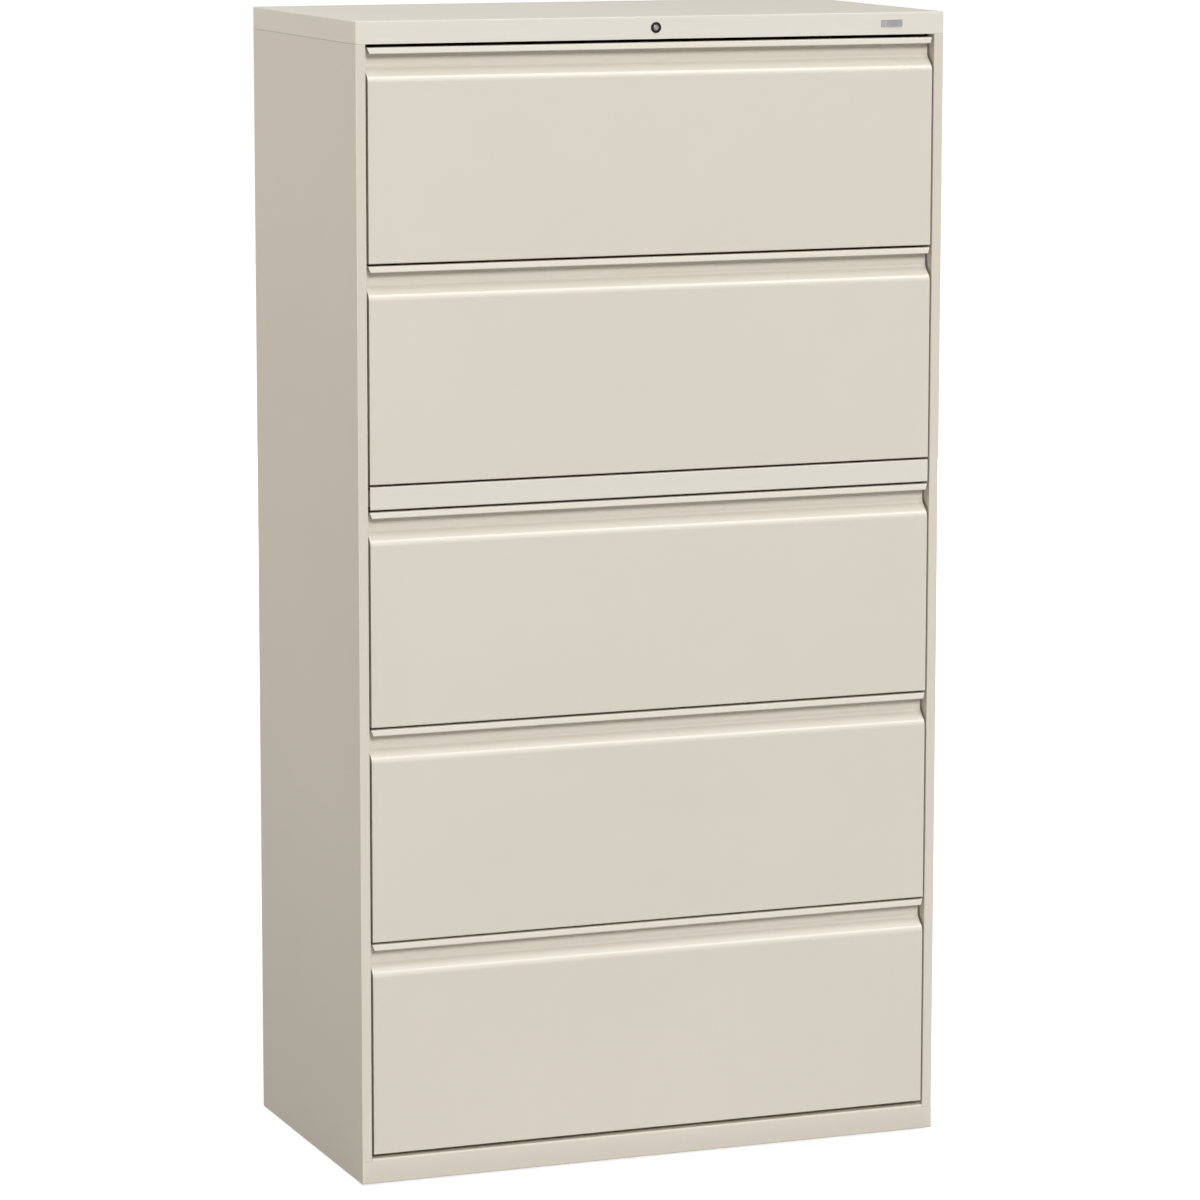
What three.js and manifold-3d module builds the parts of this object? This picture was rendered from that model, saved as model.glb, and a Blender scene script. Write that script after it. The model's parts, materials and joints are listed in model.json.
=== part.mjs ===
// Five-drawer steel lateral file with a pull-out posting shelf and a gang lock.
// Millimetres, +Z up. The front faces -Y and the origin is on the floor under the middle of the case.
import * as THREE from 'three';
import { mergeVertices } from 'three/addons/utils/BufferGeometryUtils.js';
import Module from 'manifold-3d';

const wasm = await Module();
wasm.setup();

// Case
const caseWidth = 914.4;
const caseDepth = 489;
const caseSheet = 1;
const caseBend = 2;
const stileWidth = 15;
const stileReturn = 20;
const rearFlange = 18;
const backFlange = 15;
const capHeight = 32.8;
const capReturn = 12;
const capInnerBend = 0.5;
const seam = 0.3;

// Base
const glideHeight = 5;
const baseRailHeight = 37.2;
const railTopFlange = 22;
const railBottomFlange = 62;
const railNotch = 4;
const basePocket = 120;
const counterweightEndGap = 40;
const counterweightDepth = 108;
const counterweightHeight = 27;

// Levelling glides
const glideDiscRadius = 18;
const glideStemRadius = 4;
const glideStemLength = 27;
const glideInset = 47;
const glideSetback = 35;
const weldNutRadius = 8;
const weldNutHeight = 6;

// Drawer fronts, from the floor up
const drawerFrontHeight = 314.4;
const topDrawerFrontHeight = 307.4;
const bottomGap = 6.4;
const reveal = 3.5;
const topGap = 5;
const sideGap = 3;
const frontSheet = 0.9;
const frontBend = 1.6;
const shelfFrontHeight = 33.1;

// Pull, folded into the top of each front
const pullDepth = 18;
const rampTop = 27;
const rampHeight = 12.2;
const rampBottomRadius = 16;
const rampTopRadius = 8;
const lipSetback = 2;
const lipHeight = 9.3;
const hemGap = 1.6;
const hemHeight = 5;
const hemBend = 0.6;

// Drawer boxes and hang rails
const boxSheet = 1;
const boxRearGap = 4.5;
const boxHeight = 240;
const boxRise = 7;
const hangRailThickness = 3;
const hangRailDrop = 14;
const hangRailHook = 3;
const hangRailSpacing = 312;

// Telescoping slides
const slideSheet = 1.5;
const slideBend = 2;
const slideClearance = 0.5;
const slideHeight = 44;
const slideFlange = 10;
const slideRearGap = 24;
const slideRise = 62;
const slideSetback = 4;
const hookLength = 3;
const hookThickness = 2.4;
const hookHeight = 12;
const hookClearance = 0.4;

// Uprights that carry the slides
const uprightSheet = 1.5;
const uprightWidth = 30;
const uprightLip = 8;
const uprightSetback = 2.5;

// Posting shelf
const shelfSheet = 1;
const shelfDepth = 400;
const shelfPanHeight = 24;
const shelfPanRise = 5;
const shelfFrontReturn = 12;

// Lock
const lockProud = 1.2;
const lockRadius = 8;
const lockCollarRadius = 11;
const lockCollarLength = 5;
const lockLength = 28;
const plugRadius = 5.5;
const plugTailRadius = 3;
const plugTailLength = 10;
const keyWidth = 1.4;
const keyHeight = 7;
const keyDepth = 4;
const camReach = 10;
const camHubRadius = 6;
const camThickness = 2.5;
const pinRadius = 2;
const pinClearance = 0.5;
const linkThickness = 2;
const linkHeight = 15;
const linkDrop = 1;
const linkTurn = Math.PI / 4;
const guideEndGap = 51.4;
const guideWidth = 12;
const guideSheet = 1.5;
const guideFlange = 14;
const barThickness = 2;
const barWidth = 12;
const barSetIn = 7;
const barLift = 7;
const barArm = 26;
const barArmHeight = 8;
const lugWidth = 7;
const lugHeight = 10;
const lugReach = 17;
const lugDrop = 2.5;
const catchRise = 150;
const catchHeight = 16;
const catchReach = 11;
const catchSheet = 2;
const catchGap = 1.5;

// Places that follow from the sizes above
const halfWidth = caseWidth / 2;
const frontY = lockProud - caseDepth / 2;
const rearY = caseDepth / 2;
const sideInner = halfWidth - caseSheet;
const openingHalf = halfWidth - stileWidth;
const frontHalf = openingHalf - sideGap;
const railTop = glideHeight + baseRailHeight;
const panTop = railTop - caseSheet - seam;

// Fronts and shelf stacked upwards: drawer 5 is the lowest and drawer 1 the highest
const frontStack = [];
let level = railTop + bottomGap;
for (const number of [5, 4, 3]) {
  frontStack.push({ number, bottom: level, height: drawerFrontHeight });
  level += drawerFrontHeight + reveal;
}
const shelfBottom = level;
level += shelfFrontHeight + reveal;
frontStack.push({ number: 2, bottom: level, height: drawerFrontHeight });
level += drawerFrontHeight + reveal;
frontStack.push({ number: 1, bottom: level, height: topDrawerFrontHeight });
level += topDrawerFrontHeight + topGap;
const capBottom = level;
const caseTop = capBottom + capHeight;

const uprightOuter = sideInner - seam;
const uprightInner = openingHalf - seam;
const frontUprightY = frontY + stileReturn + uprightSetback + uprightWidth / 2;
const slideFront = frontY + stileReturn + slideSetback;
const backY = rearY - caseSheet - seam;
const slideRear = backY - backFlange - slideRearGap;
const rearUprightY = slideRear - uprightWidth / 2;
const slideOuter = uprightInner - seam;
const slideStep = slideSheet + slideClearance;
const boxOuter = slideOuter - 2 * slideStep - slideFlange;
const boxFront = frontY + pullDepth + frontSheet + seam;
const boxRear = slideRear - boxRearGap;
const panRear = backY - caseSheet - seam;
const lockZ = capBottom + capHeight / 2;
const lockFront = frontY - lockProud;
const lockBack = lockFront + lockLength;
const camFront = lockBack + plugTailLength + seam;
const linkFront = frontUprightY + barWidth / 2 + pinClearance;
const pinEnd = linkFront + linkThickness + pinRadius;
const linkTop = lockZ - linkDrop;
const linkBottom = linkTop - linkHeight;
const barOuter = uprightOuter - uprightSheet - barThickness;
const barPinX = barOuter - barThickness - barArm + barSetIn;
const outerGuideX = barPinX - guideEndGap;
const linkTravel = 2 * camReach * Math.sin(linkTurn);
const barPinZ = linkBottom + pinRadius + pinClearance + barThickness;

// Solids

// A closed geometry as a solid that can be joined and cut.
function solidOf(geometry) {
  geometry.deleteAttribute('normal');
  geometry.deleteAttribute('uv');
  const merged = mergeVertices(geometry, 1e-4);
  return new wasm.Manifold(new wasm.Mesh({
    numProp: 3,
    vertProperties: Float32Array.from(merged.attributes.position.array),
    triVerts: Uint32Array.from(merged.index.array),
  }));
}

// A joined or cut solid as a geometry again.
function geometryOf(body) {
  const { vertProperties, triVerts } = body.getMesh();
  const geometry = new THREE.BufferGeometry();
  geometry.setAttribute('position', new THREE.BufferAttribute(vertProperties, 3));
  geometry.setIndex(new THREE.BufferAttribute(triVerts, 1));
  geometry.computeVertexNormals();
  return geometry;
}

// A block between two corners, given in any order.
function block([x0, x1], [y0, y1], [z0, z1]) {
  const geometry = new THREE.BoxGeometry(Math.abs(x1 - x0), Math.abs(y1 - y0), Math.abs(z1 - z0));
  geometry.translate((x0 + x1) / 2, (y0 + y1) / 2, (z0 + z1) / 2);
  return solidOf(geometry);
}

// A prism of an outline. In plan it rises along Z; in side view (y, z) it runs along X;
// in front view (x, z) it runs along Y.
function prism(shape, view, from, to) {
  const geometry = new THREE.ExtrudeGeometry(shape, { depth: Math.abs(to - from), bevelEnabled: false });
  const low = Math.min(from, to);
  const high = Math.max(from, to);
  const [x, y, z] = [new THREE.Vector3(1, 0, 0), new THREE.Vector3(0, 1, 0), new THREE.Vector3(0, 0, 1)];
  if (view === 'plan') {
    geometry.translate(0, 0, low);
  }
  if (view === 'side') {
    geometry.applyMatrix4(new THREE.Matrix4().makeBasis(y, z, x));
    geometry.translate(low, 0, 0);
  }
  if (view === 'front') {
    geometry.applyMatrix4(new THREE.Matrix4().makeBasis(x, z, y.clone().negate()));
    geometry.translate(0, high, 0);
  }
  return solidOf(geometry);
}

// A round bar along Y or Z.
function roundBar(radius, axis, [a, b], [from, to], sides = 16) {
  const geometry = new THREE.CylinderGeometry(radius, radius, Math.abs(to - from), sides);
  const middle = (from + to) / 2;
  if (axis === 'z') {
    geometry.rotateX(Math.PI / 2);
    geometry.translate(a, b, middle);
  } else {
    geometry.translate(a, middle, b);
  }
  return solidOf(geometry);
}

// A revolved outline of (radius, height) points, turned to stand along Z or to lie along Y.
function revolved(outline, axis, [a, b, c], sides = 24) {
  const geometry = new THREE.LatheGeometry(outline.map(([r, h]) => new THREE.Vector2(r, h)), sides);
  if (axis === 'z') {
    geometry.rotateX(Math.PI / 2);
  }
  geometry.translate(a, b, c);
  return solidOf(geometry);
}

// Joins a list of solids.
function join(first, ...others) {
  return others.reduce((whole, piece) => whole.add(piece), first);
}

// Cuts a list of solids out of the first.
function cut(first, ...others) {
  return others.reduce((whole, piece) => whole.subtract(piece), first);
}

// Bent sheet

// A run of straight lines whose corners are rounded. Each corner is [x, y, radius]; ends need no radius.
function bentLine(corners) {
  const stepAngle = Math.PI / 8;
  const line = [];
  corners.forEach(([x, y, radius = 0], index) => {
    const here = new THREE.Vector2(x, y);
    if (radius === 0 || index === 0 || index === corners.length - 1) {
      line.push(here);
      return;
    }
    const before = new THREE.Vector2(...corners[index - 1]).sub(here).normalize();
    const after = new THREE.Vector2(...corners[index + 1]).sub(here).normalize();
    const opening = Math.acos(THREE.MathUtils.clamp(before.dot(after), -1, 1));
    const turn = Math.PI - opening;
    const steps = Math.max(2, Math.round(turn / stepAngle));
    const centre = before.clone().add(after).setLength(radius / Math.sin(opening / 2)).add(here);
    const start = before.clone().multiplyScalar(radius / Math.tan(opening / 2)).add(here).sub(centre);
    const side = Math.sign(before.cross(after)) || 1;
    for (let step = 0; step <= steps; step += 1) {
      const angle = -side * turn * (step / steps);
      line.push(start.clone().rotateAround(new THREE.Vector2(), angle).add(centre));
    }
  });
  return line;
}

// The same line moved sideways, to the left for a positive distance, with mitred corners.
function besideLine(line, distance) {
  const leftOf = (a, b) => new THREE.Vector2(a.y - b.y, b.x - a.x).normalize();
  return line.map((point, index) => {
    const normals = [];
    if (index > 0) {
      normals.push(leftOf(line[index - 1], point));
    }
    if (index < line.length - 1) {
      normals.push(leftOf(point, line[index + 1]));
    }
    const mean = normals.reduce((sum, normal) => sum.clone().add(normal)).normalize();
    const mitre = distance / mean.dot(normals[0]);
    return mean.multiplyScalar(mitre).add(point);
  });
}

// The section of a sheet whose outer face follows the corners; thickness is to the left when positive.
function sheetSection(corners, thickness) {
  const outer = bentLine(corners);
  const inner = besideLine(outer, thickness);
  return new THREE.Shape([...outer, ...inner.reverse()]);
}

// Painted and bare finishes

const paintColour = 0xd6cec0;
const zincColour = 0xb9bcbd;
const steelColour = 0x77797b;
const brassColour = 0xb7a878;
const rubberColour = 0x2d2c2b;
const greyBoxColour = 0xa9a59d;

const finishes = {
  paint: { color: paintColour, roughness: 0.5, metalness: 0 },
  boxPaint: { color: greyBoxColour, roughness: 0.55, metalness: 0 },
  zinc: { color: zincColour, roughness: 0.38, metalness: 1 },
  steel: { color: steelColour, roughness: 0.5, metalness: 1 },
  brass: { color: brassColour, roughness: 0.35, metalness: 1 },
  rubber: { color: rubberColour, roughness: 0.8, metalness: 0 },
};

const cabinet = new THREE.Group();

// One named piece of the cabinet with a material of its own.
function addPiece(name, body, finish) {
  const mesh = new THREE.Mesh(geometryOf(body), new THREE.MeshStandardMaterial(finishes[finish]));
  mesh.name = name;
  cabinet.add(mesh);
}

const hands = [['left', -1], ['right', 1]];

// Case sides: one sheet folded into stile, side wall and rear flange, cut back over the base rail

function caseSide(hand) {
  const section = sheetSection([
    [hand * openingHalf, frontY + stileReturn],
    [hand * openingHalf, frontY, caseBend],
    [hand * halfWidth, frontY, caseBend],
    [hand * halfWidth, rearY, caseBend],
    [hand * (halfWidth - rearFlange), rearY],
  ], hand * caseSheet);
  const side = prism(section, 'plan', glideHeight, capBottom - seam);
  const below = [0, railTop - railNotch + seam];
  const rails = frontY + caseSheet + seam;
  const overRail = block([0, hand * caseWidth], [frontY - caseSheet, rails], below);
  const insideRail = block([0, hand * (sideInner - seam)], [frontY, frontY + stileReturn + seam], below);
  return cut(side, overRail, insideRail);
}

// Back panel: a sheet with a forward flange down each side

function backPanel() {
  const edge = sideInner - seam;
  const section = sheetSection([
    [-edge, backY - backFlange],
    [-edge, backY, caseBend],
    [edge, backY, caseBend],
    [edge, backY - backFlange],
  ], -caseSheet);
  const overPan = block([-halfWidth, halfWidth], [panRear - backFlange, panRear + seam], [0, panTop + seam]);
  return cut(prism(section, 'plan', glideHeight, capBottom - seam), overPan);
}

// Top cap: a shallow pan with rounded top edges and a return under its front

function roundedTop(inset, bend) {
  const side = [halfWidth - inset, caseTop - inset];
  const depth = [rearY - inset, caseTop - inset];
  const outline = ([edge, top]) => new THREE.Shape(bentLine([
    [-edge, capBottom],
    [-edge, top, bend],
    [edge, top, bend],
    [edge, capBottom],
  ]));
  const across = prism(outline(side), 'front', frontY + inset, rearY - inset);
  const along = prism(outline(depth), 'side', inset - halfWidth, halfWidth - inset);
  return across.intersect(along);
}

function topCap() {
  const shell = roundedTop(0, caseBend).subtract(roundedTop(caseSheet, capInnerBend));
  const inside = sideInner - caseBend;
  const frontReturn = block([-inside, inside], [frontY + caseSheet / 2, frontY + capReturn],
    [capBottom, capBottom + caseSheet]);
  const lockHole = roundBar(lockRadius + seam, 'y', [0, lockZ], [frontY - caseSheet, frontY + capReturn], 24);
  return cut(shell.add(frontReturn), lockHole);
}

// Base: front rail, floor pan with a pocket for the counterweight, and the counterweight

function weldNut(x, y) {
  return roundBar(weldNutRadius, 'z', [x, y], [glideHeight + caseSheet / 2, glideHeight + caseSheet + weldNutHeight], 6);
}

function stemHole(x, y) {
  const top = glideHeight + caseSheet + weldNutHeight;
  return roundBar(glideStemRadius + seam, 'z', [x, y], [glideHeight - caseSheet, top + caseSheet], 16);
}

const glideX = halfWidth - glideInset;
const frontGlideY = frontY + glideSetback;
const rearGlideY = panRear - glideSetback;

function baseFrontRail() {
  const section = sheetSection([
    [frontY + railBottomFlange, glideHeight],
    [frontY, glideHeight, caseBend],
    [frontY, railTop, caseBend],
    [frontY + railTopFlange, railTop],
  ], -caseSheet);
  const rail = prism(section, 'side', -halfWidth, halfWidth);
  const behind = [frontY + caseSheet + seam / 2, frontY + railBottomFlange + seam];
  const trims = hands.flatMap(([, hand]) => [
    block([hand * (openingHalf - seam), hand * caseWidth], [frontY - seam, behind[1]], [railTop - railNotch, caseTop]),
    block([hand * (sideInner - seam), hand * caseWidth], behind, [0, railTop]),
  ]);
  const nuts = hands.map(([, hand]) => weldNut(hand * glideX, frontGlideY));
  const holes = hands.map(([, hand]) => stemHole(hand * glideX, frontGlideY));
  return cut(join(rail, ...nuts), ...trims, ...holes);
}

function basePan() {
  const section = sheetSection([
    [panRear - basePocket, glideHeight],
    [panRear, glideHeight, caseBend],
    [panRear, panTop, caseBend],
    [frontY + caseBend + caseSheet, panTop],
  ], caseSheet);
  const edge = sideInner - seam;
  const nuts = hands.map(([, hand]) => weldNut(hand * glideX, rearGlideY));
  const holes = hands.map(([, hand]) => stemHole(hand * glideX, rearGlideY));
  const stileNotches = hands.map(([, hand]) => block([hand * (openingHalf - seam), hand * caseWidth],
    [frontY, frontY + stileReturn + seam], [glideHeight, railTop]));
  return cut(join(prism(section, 'side', -edge, edge), ...nuts), ...holes, ...stileNotches);
}

function counterweight() {
  const back = panRear - caseBend - seam;
  const bottom = glideHeight + caseSheet + seam;
  const end = glideX - counterweightEndGap;
  return block([-end, end], [back - counterweightDepth, back],
    [bottom, bottom + counterweightHeight]);
}

// Levelling glides: a foot disc on a stem that screws through the base

function levellingGlide(x, y) {
  const top = glideHeight - seam;
  const edge = top / 3;
  return revolved([
    [0, 0],
    [glideDiscRadius - edge, 0],
    [glideDiscRadius, edge],
    [glideDiscRadius, top - edge],
    [glideDiscRadius - edge, top],
    [glideStemRadius, top],
    [glideStemRadius, top + glideStemLength],
    [0, top + glideStemLength],
  ], 'z', [x, y, 0], 16);
}

// Uprights: lipped channels with a slot at each slide hook

const hookLevels = [
  ...frontStack.map(({ bottom }) => bottom + slideRise),
  shelfBottom + shelfPanRise + shelfPanHeight / 2,
];

// The lip that faces the middle of the case carries the hooks.
function hookY(uprightY) {
  const inward = -Math.sign(uprightY);
  return uprightY + inward * (uprightWidth - uprightLip) / 2;
}

function upright(hand, uprightY) {
  const [near, far] = [uprightY - uprightWidth / 2, uprightY + uprightWidth / 2];
  const section = sheetSection([
    [hand * uprightInner, near + uprightLip],
    [hand * uprightInner, near, slideBend],
    [hand * uprightOuter, near, slideBend],
    [hand * uprightOuter, far, slideBend],
    [hand * uprightInner, far, slideBend],
    [hand * uprightInner, far - uprightLip],
  ], hand * uprightSheet);
  const slotHalf = hookThickness / 2 + hookClearance;
  const slotY = hookY(uprightY);
  const slots = hookLevels.map((z) => block(
    [hand * (uprightInner - seam), hand * (uprightInner + uprightSheet + seam)],
    [slotY - slotHalf, slotY + slotHalf],
    [z - hookHeight / 2 - hookClearance, z + hookHeight / 2 + hookClearance],
  ));
  return cut(prism(section, 'plan', panTop + seam, capBottom - seam), ...slots);
}

// Slides

// A channel that opens towards the middle of the case, with its web outside.
function inwardChannel(hand, outer, middleZ, height, [front, rear]) {
  const [low, high] = [middleZ - height / 2, middleZ + height / 2];
  const section = sheetSection([
    [hand * (outer - slideFlange), low],
    [hand * outer, low, slideBend],
    [hand * outer, high, slideBend],
    [hand * (outer - slideFlange), high],
  ], hand * slideSheet);
  return prism(section, 'front', front, rear);
}

// The member that stays in the case, hooked into a front and a rear upright.
function fixedMember(hand, middleZ, height) {
  const channel = inwardChannel(hand, slideOuter, middleZ, height, [slideFront, slideRear]);
  const hooks = [frontUprightY, rearUprightY].map((uprightY) => {
    const y = hookY(uprightY);
    return block([hand * (slideOuter - slideSheet / 2), hand * (slideOuter + hookLength)],
      [y - hookThickness / 2, y + hookThickness / 2],
      [middleZ - hookHeight / 2, middleZ + hookHeight / 2]);
  });
  return join(channel, ...hooks);
}

function middleMember(hand, middleZ) {
  return inwardChannel(hand, slideOuter - slideStep, middleZ, slideHeight - 2 * slideStep, [slideFront, slideRear]);
}

// The drawer's own member: a channel that opens outwards, with its web on the drawer side.
function drawerMember(hand, middleZ) {
  const half = slideHeight / 2 - 2 * slideStep;
  const tip = boxOuter + slideFlange;
  const root = boxOuter - boxSheet / 2;
  const section = sheetSection([
    [hand * tip, middleZ - half],
    [hand * root, middleZ - half, slideBend],
    [hand * root, middleZ + half, slideBend],
    [hand * tip, middleZ + half],
  ], -hand * slideSheet);
  return prism(section, 'front', slideFront, slideRear);
}

// Drawer fronts: one sheet folded into bottom flange, face, ramp, recess, top flange and hemmed lip

function drawerFront(bottom, height) {
  const top = bottom + height;
  const back = frontY + pullDepth + frontSheet;
  const wall = frontY + pullDepth;
  const rampBottom = top - rampTop - rampHeight;
  const under = top - frontSheet;
  const lip = frontY + lipSetback + frontSheet;
  const hem = top - lipHeight + frontSheet;
  const face = [
    [back, bottom],
    [frontY, bottom, frontBend],
    [frontY, rampBottom, rampBottomRadius],
  ];
  const section = sheetSection([
    ...face,
    [wall, top - rampTop, rampTopRadius],
    [wall, under, frontBend],
    [lip, under, frontBend],
    [lip, hem, hemBend],
    [lip + hemGap, hem, hemBend],
    [lip + hemGap, hem + hemHeight],
  ], -frontSheet);
  const skin = prism(section, 'side', -frontHalf, frontHalf);
  const plateTop = pullDepth - frontBend;
  const plateRise = plateTop * rampHeight / pullDepth;
  const plateLine = bentLine([...face, [frontY + plateTop, rampBottom + plateRise]]);
  const plate = new THREE.Shape(besideLine(plateLine, -frontSheet / 2));
  const plateEnd = frontHalf - seam;
  const plates = hands.map(([, hand]) => prism(plate, 'side', hand * plateEnd, hand * (plateEnd - frontSheet)));
  return join(skin, ...plates);
}

// Drawer boxes: an open tray with its slide members and the catch that the lock holds

const catchY = frontUprightY + lugWidth / 2 + catchGap;

function drawerBox(bottom) {
  const floor = bottom + boxRise;
  const inner = boxOuter - boxSheet;
  const tray = block([-boxOuter, boxOuter], [boxFront, boxRear], [floor, floor + boxHeight]);
  const hollow = block([-inner, inner], [boxFront + boxSheet, boxRear - boxSheet],
    [floor + boxSheet, floor + boxHeight + boxSheet]);
  const members = hands.map(([, hand]) => drawerMember(hand, bottom + slideRise));
  const lockCatch = block([boxOuter - boxSheet / 2, boxOuter + catchReach], [catchY, catchY + catchSheet],
    [bottom + catchRise, bottom + catchRise + catchHeight]);
  return cut(join(tray, ...members, lockCatch), hollow);
}

// Hang rail: a flat bar across the drawer, hooked over both side walls

function hangRail(bottom) {
  const wallTop = bottom + boxRise + boxHeight + seam;
  const inner = boxOuter - boxSheet - seam;
  const outline = new THREE.Shape();
  outline.moveTo(-inner, wallTop - hangRailDrop);
  outline.lineTo(inner, wallTop - hangRailDrop);
  outline.lineTo(inner, wallTop);
  outline.lineTo(boxOuter, wallTop);
  outline.lineTo(boxOuter, wallTop + hangRailHook);
  outline.lineTo(-boxOuter, wallTop + hangRailHook);
  outline.lineTo(-boxOuter, wallTop);
  outline.lineTo(-inner, wallTop);
  const y = boxFront + boxSheet + hangRailSpacing;
  return prism(outline, 'front', y, y + hangRailThickness);
}

// Posting shelf: an upside-down pan with a folded front edge

function postingShelf() {
  const top = shelfBottom + shelfFrontHeight;
  const edge = sheetSection([
    [frontY + shelfFrontReturn, shelfBottom],
    [frontY, shelfBottom, frontBend],
    [frontY, top, frontBend],
    [frontY + shelfFrontReturn, top],
  ], -shelfSheet);
  const [low, high] = [shelfBottom + shelfPanRise, shelfBottom + shelfPanRise + shelfPanHeight];
  const [front, rear] = [frontY + shelfSheet / 2, frontY + shelfDepth];
  const pan = block([-frontHalf, frontHalf], [front, rear], [low, high]);
  const inner = frontHalf - shelfSheet;
  const hollow = block([-inner, inner], [front + shelfSheet, rear - shelfSheet], [low - shelfSheet, high - shelfSheet]);
  return cut(pan, hollow).add(prism(edge, 'side', -frontHalf, frontHalf));
}

// Lock: housing in the cap, plug with keyway, cam with a pin, sliding link and gang bar

function lockHousing() {
  const bore = plugRadius + seam;
  const collar = lockProud + caseSheet + seam;
  return revolved([
    [bore, 0],
    [lockRadius, 0],
    [lockRadius, collar],
    [lockCollarRadius, collar],
    [lockCollarRadius, collar + lockCollarLength],
    [lockRadius, collar + lockCollarLength],
    [lockRadius, lockLength],
    [bore, lockLength],
    [bore, 0],
  ], 'y', [0, lockFront, lockZ]);
}

function lockPlug() {
  const face = lockFront + seam;
  const plug = roundBar(plugRadius, 'y', [0, lockZ], [face, lockBack], 24);
  const tail = roundBar(plugTailRadius, 'y', [0, lockZ], [lockBack - seam, lockBack + plugTailLength], 16);
  const keyway = block([-keyWidth / 2, keyWidth / 2], [face - seam, face + keyDepth],
    [lockZ - keyHeight / 2, lockZ + keyHeight / 2]);
  return cut(join(plug, tail), keyway);
}

const camPinX = -camReach * Math.sin(linkTurn);
const camPinZ = lockZ - camReach * Math.cos(linkTurn);

function lockCam() {
  const tipRadius = pinRadius * 2;
  const outline = new THREE.Shape();
  outline.absarc(0, lockZ, camHubRadius, -linkTurn, Math.PI - linkTurn, false);
  outline.absarc(camPinX, camPinZ, tipRadius, Math.PI - linkTurn, 2 * Math.PI - linkTurn, false);
  const arm = new THREE.Shape(outline.extractPoints(8).shape);
  const camBack = camFront + camThickness;
  const pin = roundBar(pinRadius, 'y', [camPinX, camPinZ], [camBack - seam, pinEnd], 12);
  return prism(arm, 'front', camFront, camBack).add(pin);
}

// A slot with round ends between two places of a pin.
function slotOutline([x0, z0], [x1, z1], radius) {
  const along = Math.atan2(z1 - z0, x1 - x0);
  const outline = new THREE.Shape();
  outline.absarc(x1, z1, radius, along - Math.PI / 2, along + Math.PI / 2, false);
  outline.absarc(x0, z0, radius, along + Math.PI / 2, along + 3 * Math.PI / 2, false);
  return new THREE.Shape(outline.extractPoints(6).shape);
}

function lockLink() {
  const [front, back] = [linkFront, linkFront + linkThickness];
  const reach = pinRadius + pinClearance;
  const end = 2 * reach;
  const strap = block([camPinX - end, barPinX + end], [front, back], [linkBottom, linkTop]);
  const camSlot = slotOutline([camPinX, lockZ - camReach], [camPinX, camPinZ], reach);
  const barSlot = slotOutline([barPinX, barPinZ], [barPinX - linkTravel, barPinZ + barLift], reach);
  const slots = [camSlot, barSlot].map((slot) => prism(slot, 'front', front - seam, back + seam));
  return cut(strap, ...slots);
}

// A bent bracket under the cap that the link slides on.
function linkGuide(middleX) {
  const under = caseTop - caseSheet - seam;
  const back = linkFront + linkThickness + pinClearance;
  const foot = linkBottom - pinClearance;
  const section = sheetSection([
    [back + guideFlange, under],
    [back, under, slideBend],
    [back, foot, pinClearance],
    [linkFront - pinClearance, foot],
  ], guideSheet);
  return prism(section, 'side', middleX - guideWidth / 2, middleX + guideWidth / 2);
}

function lockBar() {
  const barX = [barOuter - barThickness, barOuter];
  const barY = [frontUprightY - barWidth / 2, frontUprightY + barWidth / 2];
  const armZ = [barPinZ - barArmHeight / 2, barPinZ + barArmHeight / 2];
  const lowest = frontStack[0].bottom + catchRise - lugDrop - 2 * lugHeight;
  const strip = block(barX, barY, [lowest, armZ[1]]);
  const arm = block([barPinX - pinRadius * 2, barOuter], [barY[1] - barThickness, barY[1]], armZ);
  const pin = roundBar(pinRadius, 'y', [barPinX, barPinZ], [barY[1] - seam, pinEnd], 12);
  const lugs = frontStack.map(({ bottom }) => {
    const lugTop = bottom + catchRise - lugDrop;
    return block([barOuter - lugReach, barOuter], [frontUprightY - lugWidth / 2, frontUprightY + lugWidth / 2],
      [lugTop - lugHeight, lugTop]);
  });
  return join(strip, arm, pin, ...lugs);
}

// Assembly

for (const [side, hand] of hands) {
  addPiece(`case_side_${side}`, caseSide(hand), 'paint');
}
addPiece('back_panel', backPanel(), 'paint');
addPiece('top_cap', topCap(), 'paint');
addPiece('base_front_rail', baseFrontRail(), 'paint');
addPiece('base_pan', basePan(), 'paint');
addPiece('counterweight', counterweight(), 'steel');

for (const [side, hand] of hands) {
  addPiece(`upright_front_${side}`, upright(hand, frontUprightY), 'zinc');
  addPiece(`upright_rear_${side}`, upright(hand, rearUprightY), 'zinc');
  addPiece(`levelling_glide_front_${side}`, levellingGlide(hand * glideX, frontGlideY), 'rubber');
  addPiece(`levelling_glide_rear_${side}`, levellingGlide(hand * glideX, rearGlideY), 'rubber');
  addPiece(`posting_shelf_track_${side}`,
    fixedMember(hand, shelfBottom + shelfPanRise + shelfPanHeight / 2, shelfPanHeight + 2 * slideStep), 'zinc');
}
addPiece('posting_shelf', postingShelf(), 'paint');

for (const { number, bottom, height } of frontStack) {
  addPiece(`drawer_front_${number}`, drawerFront(bottom, height), 'paint');
  addPiece(`drawer_box_${number}`, drawerBox(bottom), 'boxPaint');
  addPiece(`hang_rail_${number}`, hangRail(bottom), 'zinc');
  for (const [side, hand] of hands) {
    addPiece(`slide_case_member_${side}_${number}`, fixedMember(hand, bottom + slideRise, slideHeight), 'zinc');
    addPiece(`slide_middle_member_${side}_${number}`, middleMember(hand, bottom + slideRise), 'zinc');
  }
}

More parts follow.
